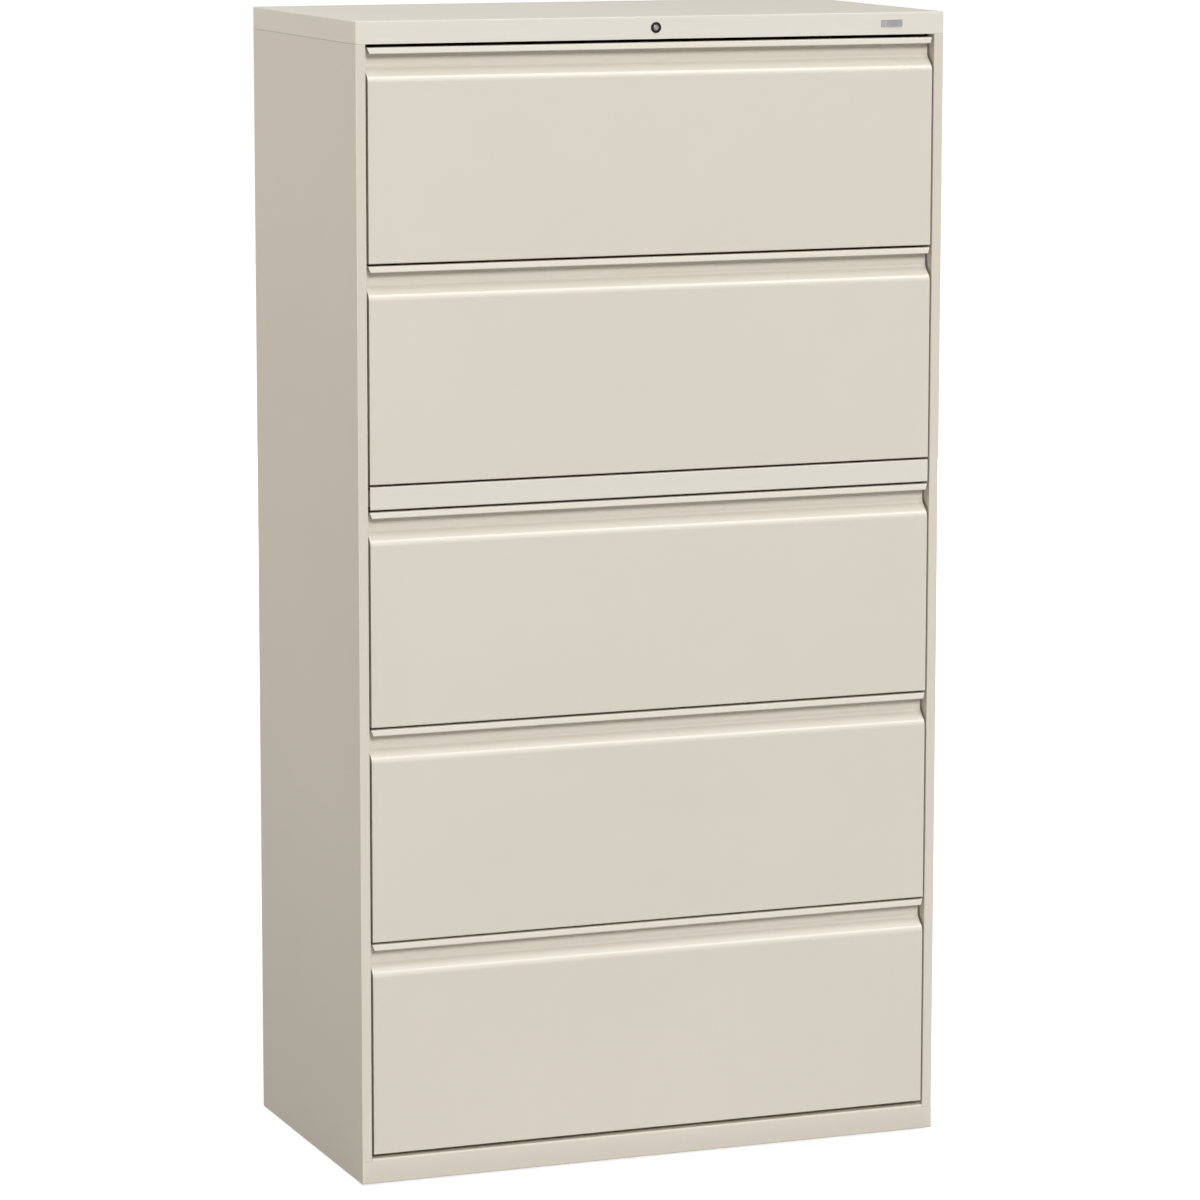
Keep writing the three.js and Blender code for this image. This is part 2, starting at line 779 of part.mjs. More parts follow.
addPiece('lock_housing', lockHousing(), 'steel');
addPiece('lock_plug', lockPlug(), 'brass');
addPiece('lock_cam', lockCam(), 'steel');
addPiece('lock_link', lockLink(), 'zinc');
addPiece('lock_link_guide_inner', linkGuide(outerGuideX / 2), 'zinc');
addPiece('lock_link_guide_outer', linkGuide(outerGuideX), 'zinc');
addPiece('lock_bar', lockBar(), 'zinc');

export default cabinet;
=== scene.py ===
import json
import math

import bmesh
import bpy
from bpy.props import FloatProperty, FloatVectorProperty, IntProperty, PointerProperty
from mathutils import Matrix, Vector

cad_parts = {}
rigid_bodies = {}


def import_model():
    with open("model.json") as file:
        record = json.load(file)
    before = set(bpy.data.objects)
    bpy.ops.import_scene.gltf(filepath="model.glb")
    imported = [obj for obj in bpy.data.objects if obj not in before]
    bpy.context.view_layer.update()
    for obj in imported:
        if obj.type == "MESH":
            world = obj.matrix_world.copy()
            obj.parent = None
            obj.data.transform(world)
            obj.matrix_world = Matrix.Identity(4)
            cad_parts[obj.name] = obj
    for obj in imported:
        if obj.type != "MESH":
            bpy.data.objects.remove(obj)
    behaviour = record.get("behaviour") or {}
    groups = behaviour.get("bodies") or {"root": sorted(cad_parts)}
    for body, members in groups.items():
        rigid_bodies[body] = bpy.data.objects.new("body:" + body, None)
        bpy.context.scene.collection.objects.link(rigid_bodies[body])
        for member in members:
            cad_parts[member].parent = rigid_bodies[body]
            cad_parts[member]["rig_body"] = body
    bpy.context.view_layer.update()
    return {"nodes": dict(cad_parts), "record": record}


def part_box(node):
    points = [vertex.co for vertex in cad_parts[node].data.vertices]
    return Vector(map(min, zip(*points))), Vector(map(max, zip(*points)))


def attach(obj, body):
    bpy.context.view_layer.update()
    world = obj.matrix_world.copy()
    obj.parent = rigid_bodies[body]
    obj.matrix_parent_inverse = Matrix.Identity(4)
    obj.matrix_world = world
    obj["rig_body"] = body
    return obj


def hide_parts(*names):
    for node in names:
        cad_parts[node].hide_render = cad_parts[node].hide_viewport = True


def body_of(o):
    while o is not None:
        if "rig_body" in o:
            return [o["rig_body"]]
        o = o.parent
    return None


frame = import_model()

bl_info = {
    "name": "Lateral File Finish",
    "version": (1, 0, 0),
    "blender": (4, 5, 0),
    "location": "View3D > Sidebar > Lateral File",
    "description": "Models the sheet metal, fittings and finishes of a five-drawer lateral file",
    "category": "Add Mesh",
}

DRAWERS = (1, 2, 3, 4, 5)
HANDS = (("left", -1), ("right", 1))
ENDS = ("front", "rear")
LAMPS = ("front", "right", "side", "rear")

# Planes of the case, read from the solids
FRONT_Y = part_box("top_cap")[0].y
HALF_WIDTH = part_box("case_side_right")[1].x
SIDE_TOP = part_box("case_side_right")[1].z
SIDE_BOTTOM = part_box("case_side_right")[0].z
REAR_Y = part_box("case_side_right")[1].y


def length(name, description, default):
    """A size in metres that a user may change."""
    return FloatProperty(name=name, description=description, default=default, unit="LENGTH", precision=4)


def colour(name, description, default):
    """A colour that a user may change, in linear light."""
    return FloatVectorProperty(name=name, description=description, default=default, size=3,
                               min=0.0, max=1.0, subtype="COLOR")


def angle(name, description, degrees):
    """An angle that a user may change."""
    return FloatProperty(name=name, description=description, default=math.radians(degrees), subtype="ANGLE")


def place(name, description, default):
    """A point in space that a user may change."""
    return FloatVectorProperty(name=name, description=description, default=default, size=3, unit="LENGTH",
                               subtype="TRANSLATION", precision=4)


def level(name, description, default):
    """A plain number, such as a strength or a power."""
    return FloatProperty(name=name, description=description, default=default, min=0.0, precision=3)


class PullSizes(bpy.types.PropertyGroup):
    sheet: length("Sheet", "Thickness of the front's sheet", 0.0009)
    fold: length("Fold", "Inside radius of the plain folds", 0.0016)
    depth: length("Recess Depth", "How far the recess goes behind the face", 0.018)
    ramp_top: length("Ramp Top", "Height of the ramp's upper fold below the top", 0.028)
    ramp_height: length("Ramp Height", "Height between the ramp's folds", 0.0162)
    ramp_bottom_radius: length("Ramp Bottom Radius", "Radius where the face turns into the ramp", 0.013)
    ramp_top_radius: length("Ramp Top Radius", "Radius where the ramp turns into the recess", 0.0095)
    lip_setback: length("Lip Setback", "How far the top of the lip stays behind the face", 0.0021)
    lip_lean: length("Lip Lean", "How far the foot of the lip comes forward of its top", 0.0016)
    lip_height: length("Lip Height", "Height of the hemmed lip", 0.0093)
    lip_taper: length("Lip Taper", "How far the lower corners of the lip are cut in", 0.003)
    hem_gap: length("Hem Gap", "Space inside the hem", 0.0016)
    hem_height: length("Hem Height", "How far the hem goes up behind the lip", 0.005)
    hem_fold: length("Hem Fold", "Inside radius of the hem", 0.0006)
    end_fold: length("End Fold", "Radius of the fold at each end of the front", 0.0008)


class CaseSizes(bpy.types.PropertyGroup):
    sheet: length("Sheet", "Thickness of the case's sheet", 0.001)
    fold: length("Fold", "Outside radius of the folds", 0.002)
    # The strip beside a fold holds the lighter edge colour: a painted highlight, partly thin paint
    edge_highlight_strip: length("Edge Strip", "Width of the thin paint beside a fold", 0.0006)
    seam: length("Seam", "Gap between neighbouring sheets", 0.0003)
    stile_width: length("Stile Width", "Width of the stile beside the fronts", 0.015)
    stile_return: length("Stile Return", "Depth of the fold behind the stile", 0.020)
    rear_flange: length("Rear Flange", "Width of the side's flange at the back", 0.018)
    rail_notch: length("Rail Notch", "Height of the notch where the stile stands on the rail", 0.004)
    rail_top_flange: length("Rail Top Flange", "Depth of the rail's upper flange", 0.022)
    cap_return: length("Cap Return", "Depth of the return under the cap's front", 0.012)
    shelf_rise: length("Shelf Rise", "Height of the shelf's pan above the bottom of its front", 0.005)
    shelf_pan: length("Shelf Pan", "Height of the shelf's pan", 0.024)
    shelf_return: length("Shelf Return", "Depth of the folds of the shelf's front", 0.012)


class FittingSizes(bpy.types.PropertyGroup):
    plug_radius: length("Plug Radius", "Radius of the lock plug", 0.0038)
    key_width: length("Keyway Width", "Width of the keyway", 0.0014)
    key_height: length("Keyway Height", "Height of the keyway", 0.005)
    key_depth: length("Keyway Depth", "Depth of the keyway", 0.004)
    badge_x: length("Badge Place", "Distance of the bare plate from the middle of the cap", 0.373)
    badge_width: length("Badge Width", "Width of the bare plate", 0.034)
    badge_height: length("Badge Height", "Height of the bare plate", 0.0105)
    badge_thickness: length("Badge Thickness", "Thickness of the bare plate", 0.0009)
    badge_corner: length("Badge Corner", "Corner radius of the bare plate", 0.0012)
    plug_gap: length("Plug Gap", "Space between plug and housing", 0.0003)
    ring_width: length("Ring Width", "Width of the lock's ring", 0.0025)
    collar_length: length("Collar Length", "Length of the lock's collar behind the cap", 0.005)
    cap_sheet: length("Cap Sheet", "Thickness of the sheet that fittings sit on", 0.001)
    soft_edge: length("Soft Edge", "Rounding of cut edges on fittings", 0.0003)
    glide_stem: length("Glide Stem", "Radius of the glide's screw", 0.004)
    glide_thickness: length("Glide Thickness", "Height of the glide's foot", 0.0047)
    thread_pitch: length("Thread Pitch", "Pitch of the glide's screw", 0.0015)
    thread_depth: length("Thread Depth", "Depth of the glide's screw thread", 0.0005)
    nut_radius: length("Nut Radius", "Corner radius of the weld nuts", 0.008)
    nut_height: length("Nut Height", "Height of the weld nuts", 0.006)


class BoxSizes(bpy.types.PropertyGroup):
    sheet: length("Sheet", "Thickness of the drawer box's sheet", 0.0009)
    fold: length("Fold", "Outside radius of the box's folds", 0.002)
    side_gap: length("Side Gap", "Space between the box and the middle slide member", 0.002)
    rear_gap: length("Rear Gap", "How far the slide reaches behind the box", 0.0045)
    hem: length("Hem", "Thickness of the hem on the walls", 0.002)
    hem_height: length("Hem Height", "Height of the hem on the walls", 0.008)
    foot: length("Foot", "Depth of the end walls' flange on the floor", 0.012)
    bead_spacing: length("Bead Spacing", "Distance between the stiffening beads of the floor", 0.170)
    bead_width: length("Bead Width", "Width of a bead", 0.014)
    bead_height: length("Bead Height", "Height of a bead", 0.0025)
    member_sheet: length("Slide Sheet", "Thickness of the drawer's slide member", 0.0015)
    member_reach: length("Slide Reach", "Width of the drawer's slide member", 0.010)
    member_height: length("Slide Height", "Height of the drawer's slide member", 0.036)
    catch_rise: length("Catch Rise", "Height of the lock catch above the front's bottom", 0.150)
    catch_height: length("Catch Height", "Height of the lock catch", 0.016)
    catch_sheet: length("Catch Sheet", "Thickness of the lock catch", 0.002)
    catch_setback: length("Catch Setback", "Distance of the lock catch behind the face", 0.0425)


class FinishColours(bpy.types.PropertyGroup):
    putty: colour("Putty", "Enamel of the fronts and sides", (0.672, 0.617, 0.527))
    cap: colour("Cap", "Enamel of the top cap", (0.762, 0.721, 0.637))
    shelf: colour("Shelf", "Enamel of the posting shelf", (0.695, 0.662, 0.584))
    inside: colour("Inside", "Enamel of the drawer boxes", (0.52, 0.48, 0.41))
    zinc: colour("Zinc", "Plating of slides and uprights", (0.55, 0.56, 0.57))
    nickel: colour("Nickel", "Plating of the lock plug", (0.26, 0.25, 0.235))
    oxide: colour("Oxide", "Dark steel of the lock and weight", (0.014, 0.012, 0.011))
    nylon: colour("Nylon", "Moulded feet", (0.03, 0.03, 0.03))
    plate: colour("Plate", "Bare badge plate", (0.3, 0.3, 0.295))
    floor: colour("Floor", "Studio floor", (0.4, 0.4, 0.4))


class StudioSetup(bpy.types.PropertyGroup):
    camera_place: place("Camera Place", "Where the camera stands", (-2.7558, -7.1748, 2.0511))
    camera_yaw: angle("Camera Yaw", "Turn of the camera to the right", 21.067)
    camera_pitch: angle("Camera Pitch", "Tilt of the camera upwards", -9.167)
    camera_roll: angle("Camera Roll", "Roll of the camera", 0.065)
    focal_pixels: level("Focal Length", "Focal length in pixels of the picture", 5135.7)
    picture_pixels: IntProperty(name="Picture Size", description="Pixels along the square picture", default=1200)
    sky: level("Sky", "Strength of the even light around", 0.08)
    floor_size: length("Floor Size", "Half the width of the floor", 60.0)
    floor_near: level("Near Floor", "Strength with which the floor looks white beside the file", 0.85)
    fade_start: length("Fade Start", "Distance at which the floor starts to turn all white", 1.2)
    fade_end: length("Fade End", "Distance at which the floor is all white", 3.5)
    front_place: place("Front Lamp Place", "Middle of the wide lamp in front", (-2.4, -24.0, 13.0))
    front_size: length("Front Lamp Size", "Width and height of the lamp in front", 7.2)
    front_power: level("Front Lamp Power", "Power of the lamp in front, in watts", 4520.0)
    right_place: place("Right Lamp Place", "Middle of the lamp that shines in the pulls", (7.4, -9.2, 17.8))
    right_size: length("Right Lamp Size", "Width of the lamp that shines in the pulls", 6.0)
    right_height: length("Right Lamp Height", "Height of the lamp that shines in the pulls", 13.0)
    right_power: level("Right Lamp Power", "Power of the lamp that shines in the pulls, in watts", 1945.0)
    right_tone: colour("Right Lamp Colour", "Colour of the lamp that shines in the pulls", (0.93, 0.97, 1.0))
    side_place: place("Side Lamp Place", "Middle of the lamp beside the left wall", (-3.7, 0.5, 2.9))
    side_size: length("Side Lamp Size", "Width and height of the lamp beside the left wall", 2.0)
    side_power: level("Side Lamp Power", "Power of the lamp beside the left wall, in watts", 70.0)
    side_tone: colour("Side Lamp Colour", "Colour of the lamp beside the left wall", (1.0, 0.96, 0.9))
    rear_place: place("Rear Lamp Place", "Middle of the low lamp behind the file", (3.5, 7.0, 0.9))
    rear_size: length("Rear Lamp Size", "Width and height of the lamp behind the file", 1.4)
    rear_power: level("Rear Lamp Power", "Power of the lamp behind the file, in watts", 330.0)
    lamp_aim: place("Lamp Aim", "Point that every lamp is turned to", (0.0, -0.24, 0.9))


# Mesh helpers

def place_on(axis, a, b, along):
    """A point from its place in a section and its place along the sheet's run."""
    if axis == "X":
        return Vector((along, a, b))
    if axis == "Y":
        return Vector((a, along, b))
    return Vector((a, b, along))


def section_of(axis, point):
    """The place of a point in a section across an axis."""
    if axis == "X":
        return Vector((point.y, point.z))
    if axis == "Y":
        return Vector((point.x, point.z))
    return Vector((point.x, point.y))


def folded_sheet(mesh, corners, axis, start, end, outwards):
    """Grows a sheet along an axis from a line of corners, each (a, b, fold radius), with its face outwards."""
    earlier = set(mesh.faces)
    line = [mesh.verts.new(place_on(axis, a, b, start)) for a, b, _ in corners]
    edges = [mesh.edges.new(pair) for pair in zip(line, line[1:])]
    grown = bmesh.ops.extrude_edge_only(mesh, edges=edges)["geom"]
    far = [item for item in grown if isinstance(item, bmesh.types.BMVert)]
    bmesh.ops.translate(mesh, verts=far, vec=place_on(axis, 0, 0, end - start))
    for before, here, after in zip(corners, corners[1:], corners[2:]):
        if here[2] > 0:
            round_fold(mesh, axis, before, here, after)
    turn_faces(mesh, [face for face in mesh.faces if face not in earlier], outwards)


def round_fold(mesh, axis, before, here, after):
    """Rounds the crease at one corner of a folded sheet."""
    corner = Vector(here[:2])
    turn = (corner - Vector(before[:2])).angle(Vector(after[:2]) - corner)
    crease = [edge for edge in mesh.edges
              if all((section_of(axis, vert.co) - corner).length < 1e-6 for vert in edge.verts)]
    steps = max(3, round(turn / math.radians(8)))
    soften_edges(mesh, crease, here[2] * math.tan(turn / 2), steps)


def soften_edges(mesh, edges, width, steps=2):
    """Rounds edges by a bevel."""
    bmesh.ops.bevel(mesh, geom=edges, offset=width, offset_type="OFFSET", segments=steps, profile=0.5,
                    affect="EDGES", material=-1, clamp_overlap=True)


def solid_block(mesh, low, high):
    """Adds a block between two corners and returns its vertices."""
    low, high = Vector(low), Vector(high)
    stand = Matrix.LocRotScale((low + high) / 2, None, high - low)
    return bmesh.ops.create_cube(mesh, size=1.0, matrix=stand)["verts"]


def cut_plane(mesh, point, normal):
    """Splits every face along a plane."""
    everything = mesh.verts[:] + mesh.edges[:] + mesh.faces[:]
    bmesh.ops.bisect_plane(mesh, geom=everything, dist=1e-7, plane_co=point, plane_no=normal)


def remove_faces(mesh, test):
    """Deletes the faces whose middle passes a test."""
    gone = [face for face in mesh.faces if test(face.calc_center_median())]
    bmesh.ops.delete(mesh, geom=gone, context="FACES")


def turn_faces(mesh, faces, direction):
    """Turns joined faces so that the greater part of their area faces a direction."""
    bmesh.ops.recalc_face_normals(mesh, faces=faces)
    facing = sum(face.calc_area() * face.normal.dot(Vector(direction)) for face in faces)
    if facing < 0:
        bmesh.ops.reverse_faces(mesh, faces=faces)


def finish_piece(name, mesh, finish, body, stands_for=(), thickness=0.0, sharp_degrees=35):
    """Makes a mesh a piece of the file: its finish, the body that carries it and the solids it stands for."""
    data = bpy.data.meshes.new(name)
    mesh.to_mesh(data)
    mesh.free()
    data.materials.append(finish)
    data.shade_smooth()
    data.set_sharp_from_angle(angle=math.radians(sharp_degrees))
    piece = bpy.data.objects.new(name, data)
    bpy.context.scene.collection.objects.link(piece)
    if thickness > 0:
        wall = piece.modifiers.new("Sheet", "SOLIDIFY")
        wall.thickness = thickness
        wall.offset = -1.0
        wall.use_even_offset = True
        wall.use_quality_normals = True
    shading = piece.modifiers.new("Even Shading", "WEIGHTED_NORMAL")
    shading.keep_sharp = True
    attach(piece, body)
    if stands_for:
        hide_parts(*stands_for)
    return piece


# Finishes

def start_finish(name):
    """A new material with its shader."""
    material = bpy.data.materials.new(name)
    material.use_nodes = True
    return material, material.node_tree, material.node_tree.nodes["Principled BSDF"]


def add_node(tree, kind, values=None, **settings):
    """A node with its settings and the values of its input sockets."""
    node = tree.nodes.new(kind)
    for key, value in settings.items():
        setattr(node, key, value)
    for key, value in (values or {}).items():
        node.inputs[key].default_value = value
    return node


def object_place(tree, stretch=(1.0, 1.0, 1.0)):
    """Object coordinates, stretched along the axes."""
    place = add_node(tree, "ShaderNodeTexCoord")
    mapping = add_node(tree, "ShaderNodeMapping", {"Scale": stretch})
    tree.links.new(place.outputs["Object"], mapping.inputs["Vector"])
    return mapping.outputs["Vector"]


def noise(tree, place, scale, detail=2.0):
    """A noise pattern and its value."""
    pattern = add_node(tree, "ShaderNodeTexNoise", {"Scale": scale, "Detail": detail})
    tree.links.new(place, pattern.inputs["Vector"])
    return pattern.outputs["Fac"]


def spread(tree, value, low, high, from_low=0.3, from_high=0.7):
    """A pattern's value taken to a range of its own."""
    ranged = add_node(tree, "ShaderNodeMapRange",
                      {"From Min": from_low, "From Max": from_high, "To Min": low, "To Max": high})
    tree.links.new(value, ranged.inputs["Value"])
    return ranged.outputs["Result"]


def tint(tree, share, first, second):
    """A colour between two others by a share."""
    mixed = add_node(tree, "ShaderNodeMix", data_type="RGBA")
    mixed.inputs["A"].default_value = (*first, 1.0)
    mixed.inputs["B"].default_value = (*second, 1.0)
    tree.links.new(share, mixed.inputs["Factor"])
    return mixed.outputs["Result"]


def raise_bumps(tree, shader, height, strength, distance):
    """Gives the shader a bumped normal from a height pattern."""
    bump = add_node(tree, "ShaderNodeBump", {"Strength": strength, "Distance": distance})
    tree.links.new(height, bump.inputs["Height"])
    tree.links.new(bump.outputs["Normal"], shader.inputs["Normal"])


def scaled(shade, factor):
    """A colour made darker or lighter."""
    return tuple(min(1.0, part * factor) for part in shade)


def enamel(name, shade, roughness, gloss, edge_highlight_and_thin_paint=1.08):
    """Baked enamel on steel: soft gloss, orange peel, faint unevenness, and edges painted lighter, partly thin paint
    and partly a painted highlight along the folds.
    """
    material, tree, shader = start_finish(name)
    shader.inputs["Specular IOR Level"].default_value = gloss
    place = object_place(tree)
    drift = tint(tree, spread(tree, noise(tree, place, 2.2, 3.0), 0.0, 1.0), scaled(shade, 0.985), scaled(shade, 1.012))
    # Lighter colour where the mesh is sharp (pointiness): a painted highlight along folds and edges, partly thin paint
    # there
    edge = add_node(tree, "ShaderNodeNewGeometry")
    edge_highlight_share = spread(tree, edge.outputs["Pointiness"], 0.0, 1.0, 0.53, 0.62)
    thin_paint_and_highlight = add_node(tree, "ShaderNodeMix", data_type="RGBA")
    thin_paint_and_highlight.inputs["B"].default_value = (*scaled(shade, edge_highlight_and_thin_paint), 1.0)
    tree.links.new(edge_highlight_share, thin_paint_and_highlight.inputs["Factor"])
    tree.links.new(drift, thin_paint_and_highlight.inputs["A"])
    tree.links.new(thin_paint_and_highlight.outputs["Result"], shader.inputs["Base Color"])
    uneven = spread(tree, noise(tree, place, 9.0, 2.0), roughness - 0.012, roughness + 0.012)
    tree.links.new(uneven, shader.inputs["Roughness"])
    raise_bumps(tree, shader, noise(tree, place, 420.0, 2.0), 0.012, 0.0004)
    return material


def plated(name, shade, roughness, stretch):
    """Plated steel with rolling lines along one axis and a cloudy bloom."""
    material, tree, shader = start_finish(name)
    shader.inputs["Metallic"].default_value = 1.0
    cloud = noise(tree, object_place(tree), 60.0, 4.0)
    tree.links.new(tint(tree, spread(tree, cloud, 0.0, 1.0), scaled(shade, 0.86), scaled(shade, 1.12)),
                   shader.inputs["Base Color"])
    lines = noise(tree, object_place(tree, stretch), 900.0, 3.0)
    tree.links.new(spread(tree, lines, roughness - 0.08, roughness + 0.1), shader.inputs["Roughness"])
    raise_bumps(tree, shader, lines, 0.06, 0.0002)
    return material


def moulded(name, shade):
    """Moulded nylon with a fine matt grain."""
    material, tree, shader = start_finish(name)
    place = object_place(tree)
    tree.links.new(tint(tree, noise(tree, place, 90.0), scaled(shade, 0.8), scaled(shade, 1.3)),
                   shader.inputs["Base Color"])
    tree.links.new(spread(tree, noise(tree, place, 160.0), 0.5, 0.68), shader.inputs["Roughness"])
    raise_bumps(tree, shader, noise(tree, place, 900.0), 0.15, 0.0003)
    return material


def cast(name, shade):
    """Rough cast or oxidised steel."""
    material, tree, shader = start_finish(name)
    shader.inputs["Metallic"].default_value = 0.7
    place = object_place(tree)
    tree.links.new(tint(tree, noise(tree, place, 55.0, 6.0), scaled(shade, 0.7), scaled(shade, 1.4)),
                   shader.inputs["Base Color"])
    tree.links.new(spread(tree, noise(tree, place, 140.0, 4.0), 0.42, 0.62), shader.inputs["Roughness"])
    raise_bumps(tree, shader, noise(tree, place, 260.0, 6.0), 0.25, 0.0006)
    return material


def finish_named(name):
    """The finish of that name, made the first time it is asked for."""
    found = bpy.data.materials.get(name)
    if found:
        return found
    shades = bpy.context.scene.lateral_colours
    makers = {
        "putty_enamel": lambda: enamel(name, shades.putty, 0.34, 0.75),
        # The last number is how much lighter edges are painted: a painted highlight along folds, partly thin paint
        "case_enamel": lambda: enamel(name, shades.putty, 0.5, 0.2, 1.2),
        "cap_enamel": lambda: enamel(name, shades.cap, 0.65, 0.06, 1.2),
        "shelf_enamel": lambda: enamel(name, shades.shelf, 0.5, 0.3),
        "inside_enamel": lambda: enamel(name, shades.inside, 0.42, 0.5),
        "zinc_plate": lambda: plated(name, shades.zinc, 0.36, (1.0, 0.02, 1.0)),
        "nickel_plate": lambda: plated(name, shades.nickel, 0.28, (1.0, 1.0, 1.0)),
        "brushed_plate": lambda: plated(name, shades.plate, 0.38, (0.02, 1.0, 1.0)),
        "dark_oxide": lambda: cast(name, shades.oxide),
        "moulded_nylon": lambda: moulded(name, shades.nylon),
    }
    return makers[name]()


# Operators, one for each group of pieces

class LATERAL_OT_drawer_fronts(bpy.types.Operator):
    """Folds the five drawer fronts, each one sheet with its pull and closed ends"""
    bl_idname = "lateral_file.drawer_fronts"
    bl_label = "Drawer Fronts"

    def execute(self, context):
        for number in DRAWERS:
            self.fold_front(context.scene.lateral_pull, number)
        return {"FINISHED"}

    def fold_front(self, pull, number):
        low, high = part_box(f"drawer_front_{number}")
        wall = FRONT_Y + pull.depth
        ramp_bottom = high.z - pull.ramp_top - pull.ramp_height
        ramp_turn = math.atan2(pull.depth, pull.ramp_height)
        ramp_end = high.z - pull.ramp_top + pull.ramp_top_radius * math.tan(ramp_turn / 2)
        under = high.z - pull.sheet
        lip = FRONT_Y + pull.lip_setback + pull.sheet
        lip_foot = lip - pull.lip_lean
        hem = high.z - pull.lip_height + pull.sheet
        hem_end = lip_foot + pull.hem_gap + pull.lip_lean * pull.hem_height / (under - hem)
        mesh = bmesh.new()
        folded_sheet(mesh, [
            (wall + pull.sheet, low.z, 0.0),
            (FRONT_Y, low.z, pull.fold),
            (FRONT_Y, ramp_bottom, pull.ramp_bottom_radius),
            (wall, high.z - pull.ramp_top, pull.ramp_top_radius),
            (wall, under, pull.fold),
            (lip, under, pull.fold),
            (lip_foot, hem, pull.hem_fold),
            (lip_foot + pull.hem_gap, hem, pull.hem_fold),
            (hem_end, hem + pull.hem_height, 0.0),
        ], "X", low.x, high.x, (0, -1, 0))
        for end in (low.x, high.x):
            self.taper_lip(mesh, pull, end, under)
            self.close_end(mesh, pull, end, ramp_end)
        turn_faces(mesh, mesh.faces[:], (0, -1, 0))
        finish_piece(f"front_{number}", mesh, finish_named("putty_enamel"), f"drawer_{number}",
                     [f"drawer_front_{number}"], pull.sheet)

    def taper_lip(self, mesh, pull, end, under):
        """Cuts the lower corner of the lip in at one end."""
        inwards = -math.copysign(1, end)
        drop = pull.lip_height - pull.sheet
        front = FRONT_Y + pull.lip_setback + pull.sheet + pull.hem_gap + pull.sheet
        for vert in mesh.verts:
            if abs(vert.co.x - end) < 1e-6 and vert.co.y < front and under - drop - 1e-4 < vert.co.z < under:
                share = min(1.0, (under - vert.co.z) / drop)
                bmesh.ops.translate(mesh, verts=[vert], vec=(inwards * pull.lip_taper * share, 0, 0))

    def close_end(self, mesh, pull, end, ramp_end):
        """Closes the end of the front up to the recess."""
        rim = [edge for edge in mesh.edges if edge.is_boundary
               and all(abs(vert.co.x - end) < 1e-6 and vert.co.z < ramp_end + 1e-5 for vert in edge.verts)]
        verts = {vert for edge in rim for vert in edge.verts}
        tips = sorted(verts, key=lambda vert: (round(vert.co.z, 6), -vert.co.y))
        closing = mesh.edges.new((tips[0], tips[-1]))
        bmesh.ops.edgeloop_fill(mesh, edges=rim + [closing])
        soften_edges(mesh, rim, pull.end_fold, 3)


class LATERAL_OT_case_sides(bpy.types.Operator):
    """Folds the two case sides: stile, side wall and rear flange of one sheet"""
    bl_idname = "lateral_file.case_sides"
    bl_label = "Case Sides"

    def execute(self, context):
        for side, hand in HANDS:
            self.fold_side(context.scene.lateral_case, side, hand)
        return {"FINISHED"}

    def fold_side(self, case, side, hand):
        opening = HALF_WIDTH - case.stile_width
        stile_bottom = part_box("base_front_rail")[1].z - case.rail_notch + case.seam
        rail_back = FRONT_Y + case.sheet + case.seam
        mesh = bmesh.new()
        folded_sheet(mesh, [
            (hand * opening, FRONT_Y + case.stile_return, 0.0),
            (hand * opening, FRONT_Y, case.fold),
            (hand * HALF_WIDTH, FRONT_Y, case.fold),
            (hand * HALF_WIDTH, REAR_Y, case.fold),
            (hand * (HALF_WIDTH - case.rear_flange), REAR_Y, 0.0),
        ], "Z", SIDE_BOTTOM, SIDE_TOP, (hand, 0, 0))
        # Cuts beside the folds keep the painted edge highlight in a narrow strip
        beside = case.fold + case.edge_highlight_strip
        for depth in (FRONT_Y + beside, REAR_Y - beside):
            cut_plane(mesh, (0, depth, 0), (0, 1, 0))
        for width in (opening + beside, HALF_WIDTH - beside):
            cut_plane(mesh, (hand * width, 0, 0), (1, 0, 0))
        for height in (SIDE_BOTTOM + case.edge_highlight_strip, SIDE_TOP - case.edge_highlight_strip):
            cut_plane(mesh, (0, 0, height), (0, 0, 1))
        cut_plane(mesh, (0, 0, stile_bottom), (0, 0, 1))
        cut_plane(mesh, (0, rail_back, 0), (0, 1, 0))
        inner = HALF_WIDTH - case.sheet - case.seam
        clear = FRONT_Y + case.stile_return + case.seam
        remove_faces(mesh, lambda middle: middle.z < stile_bottom and (
            middle.y < rail_back or (abs(middle.x) < inner and middle.y < clear)))
        finish_piece(f"side_{side}", mesh, finish_named("case_enamel"), "case",
                     [f"case_side_{side}"], case.sheet)


class LATERAL_OT_top_cap(bpy.types.Operator):
    """Makes the top cap: a shallow pan with rounded edges and a return under its front"""
    bl_idname = "lateral_file.top_cap"
    bl_label = "Top Cap"

    def execute(self, context):
        case = context.scene.lateral_case
        low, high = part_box("top_cap")
        mesh = bmesh.new()
        solid_block(mesh, low, high)
        remove_faces(mesh, lambda middle: middle.z < low.z + 1e-6)
        soften_edges(mesh, [edge for edge in mesh.edges if not edge.is_boundary], case.fold, 5)
        # Cuts beside the folds keep the painted edge highlight in a narrow strip
        beside = case.fold + case.edge_highlight_strip
        for height in (low.z + case.edge_highlight_strip, high.z - beside):
            cut_plane(mesh, (0, 0, height), (0, 0, 1))
        for depth in (low.y + beside, high.y - beside):
            cut_plane(mesh, (0, depth, 0), (0, 1, 0))
        for width in (low.x + beside, high.x - beside):
            cut_plane(mesh, (width, 0, 0), (1, 0, 0))
        front = [edge for edge in mesh.edges if edge.is_boundary
                 and all(vert.co.y < low.y + 1e-6 for vert in edge.verts)]
        grown = bmesh.ops.extrude_edge_only(mesh, edges=front)["geom"]
        lip = [item for item in grown if isinstance(item, bmesh.types.BMVert)]
        bmesh.ops.translate(mesh, verts=lip, vec=(0, case.cap_return, 0))
        turn_faces(mesh, mesh.faces[:], (0, 0, 1))
        finish_piece("cap", mesh, finish_named("cap_enamel"), "case", ["top_cap"], case.sheet)
        return {"FINISHED"}


